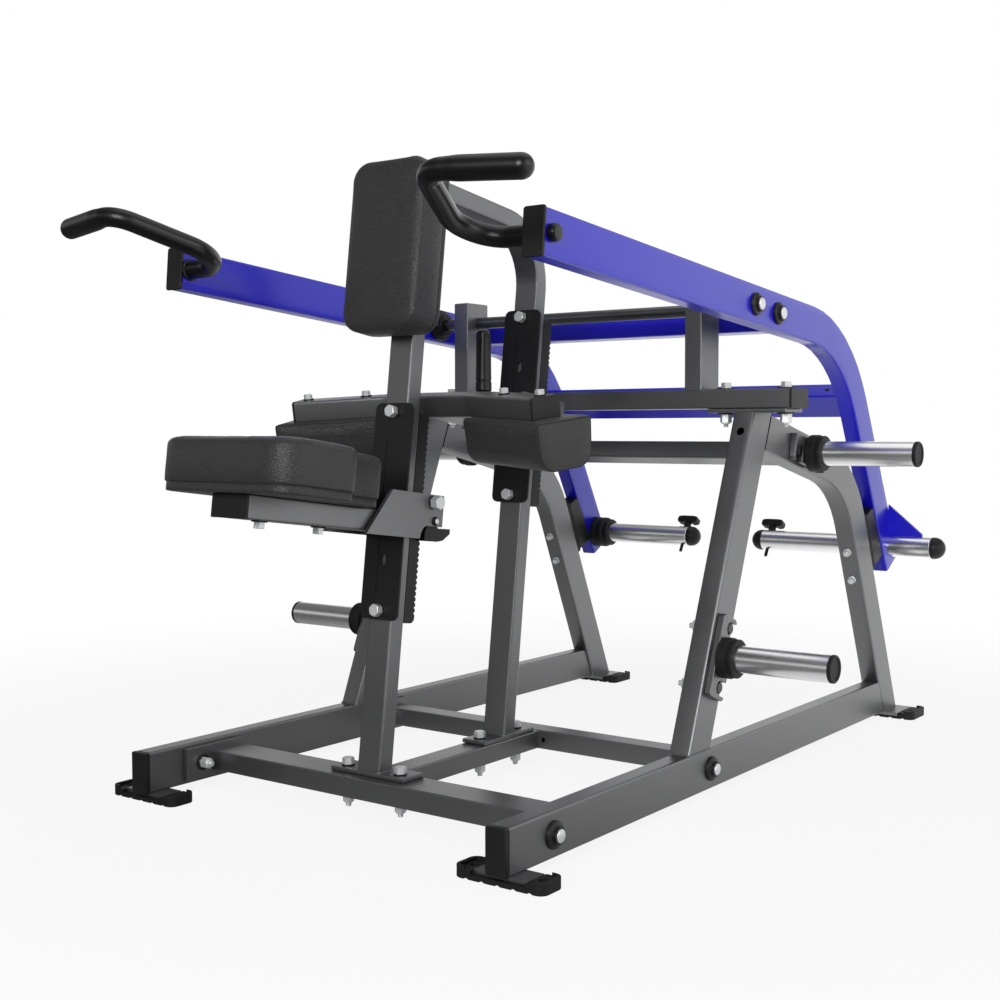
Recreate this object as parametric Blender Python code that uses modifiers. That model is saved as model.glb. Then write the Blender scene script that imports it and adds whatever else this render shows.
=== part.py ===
"""Plate-loaded seated triceps pushdown machine, modelled in Blender.

X runs across the machine, -Y is the user's end, +Z is up and the floor is
Z = 0.  All sizes below are millimetres and turn into metres in the meshes.
"""
import math

import bmesh
import bpy
from mathutils import Matrix, Vector

MM = 0.001
OBJECT_NAME = "TricepsPushdownMachine"

# Distance from the drawing's datum line to the middle of the footprint.
DATUM_Y = 64.95

# Clearances.
GAP = 0.3
SLIDE_GAP = 0.6
BORE_GAP = 0.3

# Stock tube sizes.
TUBE_W = 38.0
TUBE_D = 76.0
WALL = 3.0
CORNER_R = 5.0
CORNER_STEPS = 2
BEND_STEP = 8.0

# Base frame.
BASE_HALF = 425.0
RAIL_BOTTOM = 15.0
RAIL_FRONT = -775.0
RAIL_CAP = 12.0
FLANGE_MARGIN = 7.0
FRONT_CROSS_Y = -598.0
FRONT_CROSS_DEPTH = 76.0
MID_CROSS_Y = -103.0
MID_CROSS_DEPTH = 50.0
SPINE_HALF = 27.0
FLANGE_T = 10.0
FLANGE_FRONT = (-696.0, -561.0)
FLANGE_MID = (-172.0, -62.0)

# Feet.
FOOT_LENGTH = 168.0
FOOT_DEPTH = {"front": 57.0, "rear": 88.0}
FOOT_FRONT_Y = -753.0
FOOT_REAR_Y = 779.5
FOOT_PLATE_T = 6.0
FOOT_PLATE_HALF = 50.0
FOOT_LIP = 5.0
FOOT_LIP_T = 8.0
FOOT_HOLE = 13.0
FOOT_RIBS = 5
FOOT_GROOVE = 2.0
FOOT_ARCH = 1.0

# Leaning posts.
LEAN = 0.1265
POST_W = 53.0
POST_D = 36.0
POST_PLATE_T = 7.7
SEAT_POST_Y = -595.0
MAST_Y = -226.0
MAST_CORNER = (-100.6, 1073.9)
MAST_BEND = 117.0
SEAT_PLATE_HALF = (85.0, 28.0)
MAST_PLATE_HALF = (28.0, 82.0)

# Guide plates and racks on the posts, as heights along the post.
GUIDE_W = 86.0
GUIDE_T = 4.0
GUIDE_LENGTH = 385.0
GUIDE_CORNER = 12.0
SEAT_GUIDE_LOW = 265.0
THIGH_GUIDE_LOW = 457.0
GUIDE_HOLE = (12.0, 20.0)
GROOVE_W = 2.0
GROOVE_DEPTH = 1.6
GROOVE_X = -11.0
RACK_W = 50.0
RACK_DEPTH = 29.0
RACK_LENGTH = 376.0
RACK_DROP = 4.0
RACK_PITCH = 10.0
RACK_TOOTH = 3.6
RACK_END_R = 10.0

# Legs.
FRONT_LEG_FOOT = -223.5
FRONT_LEG_SLOPE = 0.402
FRONT_LEG_LEVEL = 81.0
BEAM_PLATE_T = 7.7
LEG_HOLE = 16.0
LEG_W = 43.5
BEAM_PLATE_REACH = (-81.25, 86.75)
REAR_LEG_SLOPE = 0.2217
REAR_LEG_KNEE = (510.0, 579.6)
REAR_LEG_ANGLE = 24.2
REAR_LEG_BEND = 240.0
REAR_CROSS_Y = 291.0

# Crossbeam and its two uprights.
BEAM_OVERHANG = 76.0
BEAM_Y = 66.0
BEAM_Z0 = 720.0
UPRIGHT_INSET = 77.5
UPRIGHT_TOP = 960.0

# Press lever.
PIVOT_Y = 70.0
PIVOT_Z = 917.0
SHAFT_R = 12.5
HUB_R = 34.0
HUB_T = 12.0
HUB_BARREL_R = 24.0
HUB_LENGTH = 26.0
ARM_FRONT = (-683.3, 978.6)
ARM_KNEE = (478.5, 883.1)
ARM_BEND = 330.0
ARM_TAIL = 15.5
ARM_TAIL_SLOPE = 0.557421347
ARM_CAP_WALL = 4.0
ARM_CAP_SKIRT = 11.0
ARM_CAP_OVER = 1.6
UPPER_CROSS = (208.0, 896.0)
LOWER_CROSS = (555.6, 743.5)
LOWER_CROSS_TILT = 38.5

# Weight horns.
HORN_R = 24.5
HORN_Z = 405.0
HORN_REACH = 132.0
HORN_INSIDE = 312.0
HORN_DOME = 34.0
HORN_COLLAR_R = 39.0
HORN_COLLAR_T = 49.0
GUSSET_T = 8.0
GUSSET_RISE = 73.0
GUSSET_REACH = 78.0
PIN_R = 4.0
PIN_INSET = 44.0
PIN_TILT = 30.0
PIN_BELOW = 20.0
KNOB = (56.0, 22.0, 20.0)

# Storage horns.
STORE_R = 25.0
STORE_REACH = {"front": 231.0, "rear": 239.0}
STORE_PLATE = (55.0, 156.0, 12.5)
STORE_BITE_R = 14.0
STORE_BITE_AT = 56.0
STORE_COLLAR_R = 38.0
STORE_COLLAR_REACH = 44.0
STORE_FRONT = (-117.0, 258.0)
STORE_REAR = (267.0, 630.0)

# Handles.
HANDLE_R = 17.0
HANDLE_STUB_R = 13.5
HANDLE_REACH = 3.0
HANDLE_STUB = 14.0
HANDLE_Y = -665.0
# Sideways from the arm's inner face, then along and up the machine.
HANDLE_POINTS = ((-130.0, -665.0, 977.3), (-43.0, -874.0, 1050.0), (110.0, -845.0, 1042.0))
HANDLE_BENDS = (65.0, 45.0)
GRIP_R = 18.8

# Bumpers between rear leg and arm.
BUMPER_Z = (352.0, 486.0)

# Seat group, in the frame of the seat post (y to the rear, z along it).
SEAT_TUBE_W = 80.0
SEAT_TUBE_H = 38.0
SEAT_TUBE_TOP = 456.1
SEAT_TUBE_FRONT = -390.0
SEAT_CAP = 4.0
SEAT_PAD_FRONT = -416.5
SEAT_PAD_STEP = -267.5
SEAT_PAD_REAR = -122.0
SEAT_PAD_HALF = 149.5
SEAT_PAD_NECK = 70.0
SEAT_PAD_T = 89.0
CHEEK_T = 7.5
CHEEK_RISE = 37.0
CHEEK_HEIGHT = 80.5
CHEEK_TOP_FRONT = 67.0
CHEEK_FOOT_FRONT = 127.5
CHEEK_REAR = 74.5

# Thigh group, in the frame of the mast.
THIGH_TUBE_TOP = 633.5
THIGH_BAR_DROP = 6.0
THIGH_BAR_D = 60.0
THIGH_BAR_H = 40.0
THIGH_BAR_FRONT = -300.0
THIGH_BAR_FLAT = 92.7
THIGH_BAR_REACH = 275.2
THIGH_BAR_SWEEP = 18.6
THIGH_BAR_PITCH = 8.5
THIGH_BAR_BEND = 120.0
GRIP_Y = -130.0
GRIP_PIVOT_RISE = 14.0
THIGH_PAD = (223.0, 118.0, 88.0)
THIGH_PAD_CORNER = 15.0

# Chest pad, in the frame of the seat post.
CHEST_HALF = 87.5
CHEST_LOW = 768.0
CHEST_HIGH = 1075.0
CHEST_T = 72.0
CHEST_CORNER = 38.0

# Colours, as linear values.
STEEL_GREY = (0.075, 0.078, 0.083, 1.0)
LEVER_BLUE = (0.035, 0.022, 0.42, 1.0)
BLACK = (0.012, 0.012, 0.013, 1.0)
VINYL = (0.022, 0.022, 0.023, 1.0)
CHROME = (0.62, 0.62, 0.63, 1.0)

LEAN_ANGLE = math.atan(LEAN)


for old in list(bpy.data.objects):
    bpy.data.objects.remove(old, do_unlink=True)


def make_collection(name):
    """A collection linked to the scene."""
    group = bpy.data.collections.new(name)
    bpy.context.scene.collection.children.link(group)
    return group


PARTS = make_collection(OBJECT_NAME)
CUTTERS = make_collection("Cutters")


def make_material(name, colour, roughness, metallic):
    """A Principled material with one flat finish."""
    material = bpy.data.materials.new(name)
    material.use_nodes = True
    shader = material.node_tree.nodes["Principled BSDF"]
    shader.inputs["Base Color"].default_value = colour
    shader.inputs["Roughness"].default_value = roughness
    shader.inputs["Metallic"].default_value = metallic
    material.diffuse_color = colour
    return material


GREY_COAT = make_material("GreyPowderCoat", STEEL_GREY, 0.38, 0.35)
BLUE_COAT = make_material("BluePowderCoat", LEVER_BLUE, 0.32, 0.1)
PLASTIC = make_material("BlackPlastic", BLACK, 0.45, 0.0)
RUBBER = make_material("BlackRubber", BLACK, 0.7, 0.0)
LEATHER = make_material("BlackVinyl", VINYL, 0.5, 0.0)
BRIGHT = make_material("BrightSteel", CHROME, 0.25, 1.0)


def make_empty(name, location=(0, 0, 0), rotation=(0, 0, 0), parent=None):
    """A reference frame that pieces hang from."""
    empty = bpy.data.objects.new(name, None)
    empty.empty_display_size = 0.05
    empty.location = Vector(location) * MM
    empty.rotation_euler = rotation
    empty.parent = parent
    PARTS.objects.link(empty)
    return empty


ROOT = make_empty("MachineFrame", (0, DATUM_Y, 0))
LEVER = make_empty("PressLeverAxis", (0, PIVOT_Y, PIVOT_Z), parent=ROOT)
SEAT_FRAME = make_empty("SeatPostFrame", (0, SEAT_POST_Y, 80), (-LEAN_ANGLE, 0, 0), ROOT)
MAST_FRAME = make_empty("MastFrame", (0, MAST_Y, 80), (-LEAN_ANGLE, 0, 0), ROOT)

# Columns take an outline's (u, v) and its thickness to the machine's axes.
ALONG_X = Matrix(((0, 0, 1, 0), (1, 0, 0, 0), (0, 1, 0, 0), (0, 0, 0, 1)))
ALONG_Y = Matrix(((1, 0, 0, 0), (0, 0, -1, 0), (0, 1, 0, 0), (0, 0, 0, 1)))
ALONG_Z = Matrix.Identity(4)


def shade(mesh):
    """Smooth shading with crisp edges."""
    mesh.shade_smooth()
    mesh.set_sharp_from_angle(angle=math.radians(32))


def to_object(bm, name, material=None, parent=ROOT, location=(0, 0, 0), rotation=(0, 0, 0),
              collection=None):
    """Turn a millimetre bmesh into an object placed in its parent's frame."""
    bmesh.ops.scale(bm, vec=Vector((MM, MM, MM)), verts=bm.verts)
    bmesh.ops.recalc_face_normals(bm, faces=bm.faces)
    mesh = bpy.data.meshes.new(name)
    bm.to_mesh(mesh)
    bm.free()
    shade(mesh)
    if material is not None:
        mesh.materials.append(material)
    ob = bpy.data.objects.new(name, mesh)
    ob.parent = parent
    ob.location = Vector(location) * MM
    ob.rotation_euler = rotation
    (collection or PARTS).objects.link(ob)
    return ob


def as_tool(ob):
    """Keep a cutting or joining shape out of the model."""
    for group in list(ob.users_collection):
        group.objects.unlink(ob)
    CUTTERS.objects.link(ob)
    ob.hide_render = True
    ob.display_type = "WIRE"
    return ob


def combine(target, tool, operation="DIFFERENCE"):
    """Boolean a tool into a target."""
    as_tool(tool)
    modifier = target.modifiers.new(operation.title() + tool.name, "BOOLEAN")
    modifier.operation = operation
    modifier.solver = "EXACT"
    modifier.object = tool
    return target


def cube(bm, low, high):
    """A box between two corners."""
    made = bmesh.ops.create_cube(bm, size=1.0)
    low = Vector(low)
    high = Vector(high)
    bmesh.ops.scale(bm, vec=high - low, verts=made["verts"])
    bmesh.ops.translate(bm, vec=(low + high) / 2, verts=made["verts"])
    return made["verts"]


def box(name, low, high, bevel=0.0, **place):
    """A box object, its edges rounded by a small bevel."""
    bm = bmesh.new()
    cube(bm, low, high)
    if bevel:
        bmesh.ops.bevel(bm, geom=list(bm.edges), offset=bevel, segments=CORNER_STEPS,
                        profile=0.5, affect="EDGES", clamp_overlap=True)
    return to_object(bm, name, **place)


def rod(name, start, end, radius, sides=24, end_radius=None, **place):
    """A round bar between two points."""
    start = Vector(start)
    end = Vector(end)
    axis = end - start
    turn = axis.to_track_quat("Z", "Y").to_matrix().to_4x4()
    bm = bmesh.new()
    bmesh.ops.create_cone(bm, cap_ends=True, segments=sides, radius1=radius,
                          radius2=radius if end_radius is None else end_radius,
                          depth=axis.length, matrix=Matrix.Translation((start + end) / 2) @ turn)
    return to_object(bm, name, **place)


def outline_bmesh(loops, thickness, axes=ALONG_X, centre=0.0, flat_faces=False):
    """Extrude closed outlines, the inner ones as holes, both ways from centre."""
    curve = bpy.data.curves.new("Outline", "CURVE")
    curve.dimensions = "2D"
    curve.fill_mode = "BOTH"
    curve.extrude = thickness / 2
    for loop in loops:
        spline = curve.splines.new("POLY")
        spline.points.add(len(loop) - 1)
        for point, (u, v) in zip(spline.points, loop):
            point.co = (u, v, 0, 1)
        spline.use_cyclic_u = True
    holder = bpy.data.objects.new("Outline", curve)
    bpy.context.scene.collection.objects.link(holder)
    graph = bpy.context.evaluated_depsgraph_get()
    mesh = bpy.data.meshes.new_from_object(holder.evaluated_get(graph))
    bpy.data.objects.remove(holder, do_unlink=True)
    bpy.data.curves.remove(curve)
    bm = bmesh.new()
    bm.from_mesh(mesh)
    bpy.data.meshes.remove(mesh)
    bmesh.ops.remove_doubles(bm, verts=bm.verts, dist=0.001)
    if flat_faces:
        bmesh.ops.dissolve_limit(bm, angle_limit=math.radians(0.5), verts=bm.verts, edges=bm.edges)
    bmesh.ops.translate(bm, vec=(0, 0, centre), verts=bm.verts)
    bm.transform(axes)
    bmesh.ops.recalc_face_normals(bm, faces=bm.faces)
    return bm


def prism(name, loop, thickness, axes=ALONG_X, centre=0.0, bevel=0.0, holes=(), **place):
    """A flat plate of any outline."""
    bm = outline_bmesh([loop, *holes], thickness, axes, centre, bevel > 0)
    if bevel:
        edges = [edge for edge in bm.edges if edge.calc_face_angle(0) > math.radians(50)]
        bmesh.ops.bevel(bm, geom=edges, offset=bevel, segments=CORNER_STEPS, profile=0.5,
                        affect="EDGES", clamp_overlap=True)
    return to_object(bm, name, **place)


def rounded_rect(u0, u1, v0, v1, radius, steps=4):
    """Corner-rounded rectangle, counter-clockwise."""
    loop = []
    for cu, cv, start in ((u1 - radius, v1 - radius, 0), (u0 + radius, v1 - radius, 90),
                          (u0 + radius, v0 + radius, 180), (u1 - radius, v0 + radius, 270)):
        for i in range(steps + 1):
            angle = math.radians(start + 90 * i / steps)
            loop.append((cu + radius * math.cos(angle), cv + radius * math.sin(angle)))
    return loop


def circle(u, v, radius, sides=24):
    """A round outline."""
    return [(u + radius * math.cos(2 * math.pi * i / sides),
             v + radius * math.sin(2 * math.pi * i / sides)) for i in range(sides)]


def fillet(points, radii, step=BEND_STEP):
    """Replace the inner corners of a polyline by arcs; gives points and directions."""
    points = [Vector(point) for point in points]
    first = (points[1] - points[0]).normalized()
    path = [(points[0], first)]
    for i in range(1, len(points) - 1):
        before = (points[i] - points[i - 1]).normalized()
        after = (points[i + 1] - points[i]).normalized()
        turn = before.angle(after)
        reach = radii[i - 1] * math.tan(turn / 2)
        begin = points[i] - before * reach
        inward = (after - before * before.dot(after)).normalized()
        centre = begin + inward * radii[i - 1]
        count = max(2, math.ceil(math.degrees(turn) / step))
        for j in range(count + 1):
            angle = turn * j / count
            spoke = before * math.sin(angle) - inward * math.cos(angle)
            heading = before * math.cos(angle) + inward * math.sin(angle)
            path.append((centre + spoke * radii[i - 1], heading))
    last = (points[-1] - points[-2]).normalized()
    path.append((points[-1], last))
    return path


def ribbon(path, half, start_cut=None, end_cut=None):
    """Outline of constant width along a plane path, its ends cut along given lines."""
    left = []
    right = []
    for i, (point, heading) in enumerate(path):
        normal = Vector((-heading.y, heading.x))
        offset = normal * half
        back = -offset
        cut = start_cut if i == 0 else end_cut if i == len(path) - 1 else None
        if cut is not None:
            line = Vector(cut).normalized()
            offset = line * (half / line.dot(normal))
            back = -offset
        left.append(tuple(point + offset))
        right.append(tuple(point + back))
    return left + right[::-1]


def extend(path, start, end):
    """Lengthen, or with a negative value shorten, the two ends of a path."""
    path = list(path)
    point, heading = path[0]
    path[0] = (point - heading * start, heading)
    point, heading = path[-1]
    path[-1] = (point + heading * end, heading)
    return path


def round_long_edges(bm, ends, radius):
    """Round a tube's long edges and leave its cut ends square."""
    edges = []
    for edge in bm.edges:
        if len(edge.link_faces) != 2 or edge.calc_face_angle(0) < math.radians(50):
            continue
        middles = [face.calc_center_median() for face in edge.link_faces]
        if min((middle - end).length for middle in middles for end in ends) > 0.05:
            edges.append(edge)
    bmesh.ops.bevel(bm, geom=edges, offset=radius, segments=CORNER_STEPS, profile=0.5,
                    affect="EDGES", clamp_overlap=True)


def side_tube(name, path, depth, x_mid, width=TUBE_W, start_cut=None, end_cut=None,
              closed=(False, False), material=GREY_COAT, wall=WALL, **place):
    """Hollow rectangular tube bent in a side view plane."""
    loop = ribbon(path, depth / 2, start_cut, end_cut)
    bm = outline_bmesh([loop], width, ALONG_X, x_mid, True)
    ends = [Vector((x_mid, *path[0][0])), Vector((x_mid, *path[-1][0]))]
    round_long_edges(bm, ends, CORNER_R)
    ob = to_object(bm, name, material, **place)
    reach = [-wall if shut else depth for shut in closed]
    bore = ribbon(extend(path, *reach), depth / 2 - wall, start_cut, end_cut)
    bm = outline_bmesh([bore], width - 2 * wall, ALONG_X, x_mid)
    combine(ob, to_object(bm, name + "_bore", **place))
    return ob


def profile_tube(name, u0, u1, v0, v1, low, high, axes=ALONG_X, material=GREY_COAT,
                 wall=WALL, **place):
    """Straight open-ended rectangular tube."""
    outer = rounded_rect(u0, u1, v0, v1, CORNER_R, CORNER_STEPS)
    inner = rounded_rect(u0 + wall, u1 - wall, v0 + wall, v1 - wall, CORNER_R - wall, 1)
    return prism(name, outer, high - low, axes, (low + high) / 2, holes=(inner,),
                 material=material, **place)


def turned(name, profile, axis_point, axis, material, steps=22, parent=ROOT):
    """A body of revolution: (radius, distance) points spun round an axis."""
    mesh = bpy.data.meshes.new(name)
    area = sum(a[0] * b[1] - b[0] * a[1] for a, b in zip(profile, [*profile[1:], profile[0]]))
    if area > 0:
        profile = profile[::-1]
    bm = bmesh.new()
    verts = [bm.verts.new((r * MM, 0, z * MM)) for r, z in profile]
    closed = profile[0][0] > 1e-6 or profile[-1][0] > 1e-6
    for a, b in zip(verts, verts[1:]):
        bm.edges.new((a, b))
    if closed:
        bm.edges.new((verts[-1], verts[0]))
    bm.to_mesh(mesh)
    bm.free()
    mesh.materials.append(material)
    ob = bpy.data.objects.new(name, mesh)
    PARTS.objects.link(ob)
    ob.parent = parent
    ob.location = Vector(axis_point) * MM
    ob.rotation_euler = Vector(axis).to_track_quat("Z", "Y").to_euler()
    spin = ob.modifiers.new("Turn", "SCREW")
    spin.axis = "Z"
    spin.steps = steps
    spin.render_steps = steps
    spin.use_merge_vertices = True
    spin.merge_threshold = 0.00001
    return ob


def mirror_name(side):
    """Node prefix for the machine's left or right."""
    return "right" if side > 0 else "left"


def yz_line(origin, slope_vector, distance):
    """A point on a line in the side view."""
    return (origin[0] + slope_vector[0] * distance, origin[1] + slope_vector[1] * distance)


REAR_DOWN = (math.sin(math.radians(REAR_LEG_ANGLE)), -math.cos(math.radians(REAR_LEG_ANGLE)))
REAR_OUT = (-REAR_DOWN[1], REAR_DOWN[0])
RAIL_TOP = RAIL_BOTTOM + TUBE_D
CROSS_Z0 = (RAIL_BOTTOM + RAIL_TOP - TUBE_W) / 2
CROSS_Z1 = CROSS_Z0 + TUBE_W
X_MID = BASE_HALF - TUBE_W / 2
X_IN = BASE_HALF - TUBE_W
LEG_MID = BASE_HALF - LEG_W / 2
BEAM_PLATE_X = (LEG_MID + BEAM_PLATE_REACH[0], LEG_MID + BEAM_PLATE_REACH[1])
BEAM_HALF = BASE_HALF + BEAM_OVERHANG
UPRIGHT_X = (X_IN - UPRIGHT_INSET - TUBE_W, X_IN - UPRIGHT_INSET)
HORN_OUT = BASE_HALF + HORN_REACH
HORN_IN = X_IN - HORN_INSIDE
PIN_X = HORN_IN + PIN_INSET
ARM_END_Z = HORN_Z - HORN_R - ARM_TAIL
ARM_END = (ARM_KNEE[0] + (ARM_KNEE[1] - ARM_END_Z) * ARM_TAIL_SLOPE, ARM_END_Z)
FRONT_LEG_DIR = Vector((FRONT_LEG_SLOPE, 1.0)).normalized()


def rear_leg_centre(z):
    """Y of the rear leg's lower run at a height."""
    inside = BASE_HALF - LEG_W - GAP
    knee_y, knee_z = REAR_LEG_KNEE
    return knee_y + (knee_z - z) * math.tan(math.radians(REAR_LEG_ANGLE))


def build_feet():
    """Four rubber feet with lips, bolt holes and a ribbed underside."""
    half = FOOT_LENGTH / 2
    for end, y in (("front", FOOT_FRONT_Y), ("rear", FOOT_REAR_Y)):
        for side in (-1, 1):
            name = mirror_name(side) + "_" + end + "_foot"
            low = RAIL_BOTTOM
            top = low + FOOT_LIP
            seat = low - FOOT_PLATE_T - GAP
            x0 = FOOT_PLATE_HALF + GAP
            lip = half - FOOT_LIP_T
            rib = FOOT_LENGTH / (2 * FOOT_RIBS + 1)
            under = []
            for i in range(FOOT_RIBS + 1):
                start = -half + 2 * i * rib
                under += [(start, 0), (start + rib, 0)]
                if i < FOOT_RIBS:
                    # The grooves are cut to a shallow arch.
                    under += [(x, FOOT_GROOVE + FOOT_ARCH * (1 - (x / half) ** 2))
                              for x in (start + rib, start + 2 * rib)]
            loop = under + [(half, top - 3), (half - 2, top), (lip, top), (lip, low), (x0, low),
                            (x0, seat), (-x0, seat), (-x0, low), (-lip, low), (-lip, top),
                            (-half + 2, top), (-half, top - 3)]
            ob = prism(name, loop, FOOT_DEPTH[end], ALONG_Y, -y, material=RUBBER,
                       location=(side * X_MID, 0, 0))
            for reach in (-1, 1):
                x = side * X_MID + reach * (FOOT_PLATE_HALF + lip) / 2
                combine(ob, rod(name + "_hole", (x, y, -5), (x, y, 40), FOOT_HOLE / 2, 16))


def build_base():
    """Rails with caps, crossmembers with the spine between them."""
    for side in (-1, 1):
        word = mirror_name(side)
        rear = Vector((rear_leg_centre(RAIL_TOP - TUBE_D / 2), RAIL_TOP - TUBE_D / 2))
        shift = (TUBE_D / 2 + GAP) / math.cos(math.radians(REAR_LEG_ANGLE))
        end = rear - Vector((shift, 0))
        path = [(Vector((RAIL_FRONT, end.y)), Vector((1, 0))), (end, Vector((1, 0)))]
        rail = side_tube(word + "_rail", path, TUBE_D, side * X_MID, end_cut=REAR_DOWN)
        plate = box(word + "_rail_foot_plate",
                    (side * X_MID - FOOT_PLATE_HALF, RAIL_FRONT + 2,
                     RAIL_BOTTOM - FOOT_PLATE_T),
                    (side * X_MID + FOOT_PLATE_HALF, FOOT_FRONT_Y + FOOT_DEPTH["front"] / 2 - 4,
                     RAIL_BOTTOM + 1))
        combine(rail, plate, "UNION")
        cap = box(word + "_rail_cap",
                  (side * X_MID - TUBE_W / 2, RAIL_FRONT - RAIL_CAP, RAIL_BOTTOM + GAP),
                  (side * X_MID + TUBE_W / 2, RAIL_FRONT - GAP, RAIL_TOP), 3.0,
                  material=PLASTIC)
        plug = box(word + "_rail_cap_plug",
                   (side * X_MID - TUBE_W / 2 + WALL + GAP, RAIL_FRONT - 6,
                    RAIL_BOTTOM + WALL + GAP),
                   (side * X_MID + TUBE_W / 2 - WALL - GAP, RAIL_FRONT + 14,
                    RAIL_TOP - WALL - GAP))
        combine(cap, plug, "UNION")

    reach = X_IN - GAP
    ob = box("base_crossframe",
             (-reach + 2, FRONT_CROSS_Y - FRONT_CROSS_DEPTH / 2, CROSS_Z0),
             (reach - 2, FRONT_CROSS_Y + FRONT_CROSS_DEPTH / 2, CROSS_Z1), 3.0,
             material=GREY_COAT)
    combine(ob, box("mid_crossmember",
                    (-reach + 2, MID_CROSS_Y - MID_CROSS_DEPTH / 2, CROSS_Z0),
                    (reach - 2, MID_CROSS_Y + MID_CROSS_DEPTH / 2, CROSS_Z1), 3.0), "UNION")
    front_rear = FRONT_CROSS_Y + FRONT_CROSS_DEPTH / 2
    mid_front = MID_CROSS_Y - MID_CROSS_DEPTH / 2
    combine(ob, box("spine", (-SPINE_HALF, front_rear - 8, CROSS_Z0 + 0.4),
                    (SPINE_HALF, mid_front + 8, CROSS_Z1 - 0.4), 3.0), "UNION")
    for side in (-1, 1):
        for y0, y1 in (FLANGE_FRONT, FLANGE_MID):
            xs = sorted((side * (reach - FLANGE_T), side * reach))
            combine(ob, box("cross_flange", (xs[0], y0, RAIL_BOTTOM + FLANGE_MARGIN),
                            (xs[1], y1, RAIL_TOP - FLANGE_MARGIN), 1.5), "UNION")
    inner = reach - FLANGE_T - WALL
    for y, depth in ((FRONT_CROSS_Y, FRONT_CROSS_DEPTH), (MID_CROSS_Y, MID_CROSS_DEPTH)):
        combine(ob, box("cross_void", (-inner, y - depth / 2 + WALL, CROSS_Z0 + WALL),
                        (inner, y + depth / 2 - WALL, CROSS_Z1 - WALL)))
    combine(ob, box("spine_void", (-SPINE_HALF + WALL + 1, FRONT_CROSS_Y, CROSS_Z0 + WALL + 1),
                    (SPINE_HALF - WALL - 1, MID_CROSS_Y, CROSS_Z1 - WALL - 1)))
    combine(ob, rod("vent_mid", (39, mid_front - 5, 53), (39, mid_front + 10, 53), 5, 16))


def build_posts():
    """Seat post and the mast, which bends over to meet it."""
    up = Vector((LEAN, 1.0)).normalized()
    forward = Vector((-up.y, up.x))
    level = (1, 0)
    corner = Vector(MAST_CORNER)
    start = Vector((MAST_Y, 80.0))
    reach = (corner - start).length
    corner = start + up * reach
    post_start = Vector((SEAT_POST_Y, 80.0))
    arm_rise = (corner + up * (POST_D / 2) - post_start).dot(up)
    top = post_start + up * arm_rise
    ob = side_tube("seat_post", [(post_start, up), (top, up)], POST_D, 0, POST_W,
                   start_cut=level, closed=(False, True))
    plate = box("seat_post_plate",
                (-SEAT_PLATE_HALF[0], FRONT_CROSS_Y - 28 + 9, CROSS_Z1 + GAP),
                (SEAT_PLATE_HALF[0], FRONT_CROSS_Y + 37, CROSS_Z1 + GAP + POST_PLATE_T + 0.6), 2.0)
    combine(ob, plate, "UNION")
    combine(ob, rod("seat_post_drain", (0, SEAT_POST_Y, 60), (0, SEAT_POST_Y, 100), 6, 16))
    meet = (post_start - corner).dot(forward) - POST_D / 2 - GAP
    end = corner + forward * meet
    path = fillet([start, corner, end], [MAST_BEND])
    ob = side_tube("mast", path, POST_D, 0, POST_W, start_cut=level)
    combine(ob, box("mast_plate", (-MAST_PLATE_HALF[0], MAST_Y - MAST_PLATE_HALF[1],
                                   CROSS_Z1 + GAP),
                    (MAST_PLATE_HALF[0], MAST_Y + MAST_PLATE_HALF[1],
                     CROSS_Z1 + GAP + POST_PLATE_T + 0.6), 2.0), "UNION")


def build_guides():
    """Guide plates on the posts' fronts and toothed racks on their backs."""
    for word, frame, low, hole_at, groove in (
            ("seat", SEAT_FRAME, SEAT_GUIDE_LOW, 106.0, (45.0, 318.0)),
            ("thigh", MAST_FRAME, THIGH_GUIDE_LOW, 270.0, (70.0, 336.0))):
        front = -POST_D / 2 - GAP
        plate = prism(word + "_guide_plate",
                      rounded_rect(-GUIDE_W / 2, GUIDE_W / 2, low, low + GUIDE_LENGTH,
                                   GUIDE_CORNER, 3),
                      GUIDE_T - GAP, ALONG_Y, -(front - (GUIDE_T - GAP) / 2),
                      material=PLASTIC, parent=frame)
        slot = rounded_rect(-GUIDE_HOLE[0] / 2, GUIDE_HOLE[0] / 2, low + hole_at - GUIDE_HOLE[1] / 2,
                            low + hole_at + GUIDE_HOLE[1] / 2, GUIDE_HOLE[0] / 2 - 0.01, 4)
        combine(plate, prism(word + "_slot", slot, 20, ALONG_Y, -front, parent=frame))
        face = front - (GUIDE_T - GAP)
        combine(plate, box(word + "_groove",
                           (GROOVE_X - GROOVE_W / 2, face - 1, low + groove[0]),
                           (GROOVE_X + GROOVE_W / 2, face + GROOVE_DEPTH, low + groove[1]),
                           parent=frame))
        back = POST_D / 2 + GAP
        rack_low = low - RACK_DROP
        rear = POST_D / 2 + RACK_DEPTH
        loop = [(back, rack_low), (rear - RACK_END_R, rack_low)]
        for i in range(1, 4):
            angle = math.radians(-90 + 90 * i / 3)
            loop.append((rear - RACK_END_R + RACK_END_R * math.cos(angle),
                         rack_low + RACK_END_R + RACK_END_R * math.sin(angle)))
        count = int((RACK_LENGTH - 2 * RACK_END_R - 4) // RACK_PITCH)
        first = rack_low + (RACK_LENGTH - count * RACK_PITCH) / 2
        for i in range(count):
            z = first + i * RACK_PITCH
            loop += [(rear, z + 2), (rear - RACK_TOOTH, z + RACK_PITCH / 2),
                     (rear, z + RACK_PITCH - 2)]
        top = rack_low + RACK_LENGTH
        for i in range(4):
            angle = math.radians(90 * i / 3)
            loop.append((rear - RACK_END_R + RACK_END_R * math.cos(angle),
                         top - RACK_END_R + RACK_END_R * math.sin(angle)))
        loop.append((back, top))
        prism(word + "_rack", loop, RACK_W, material=PLASTIC, parent=frame)


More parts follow.
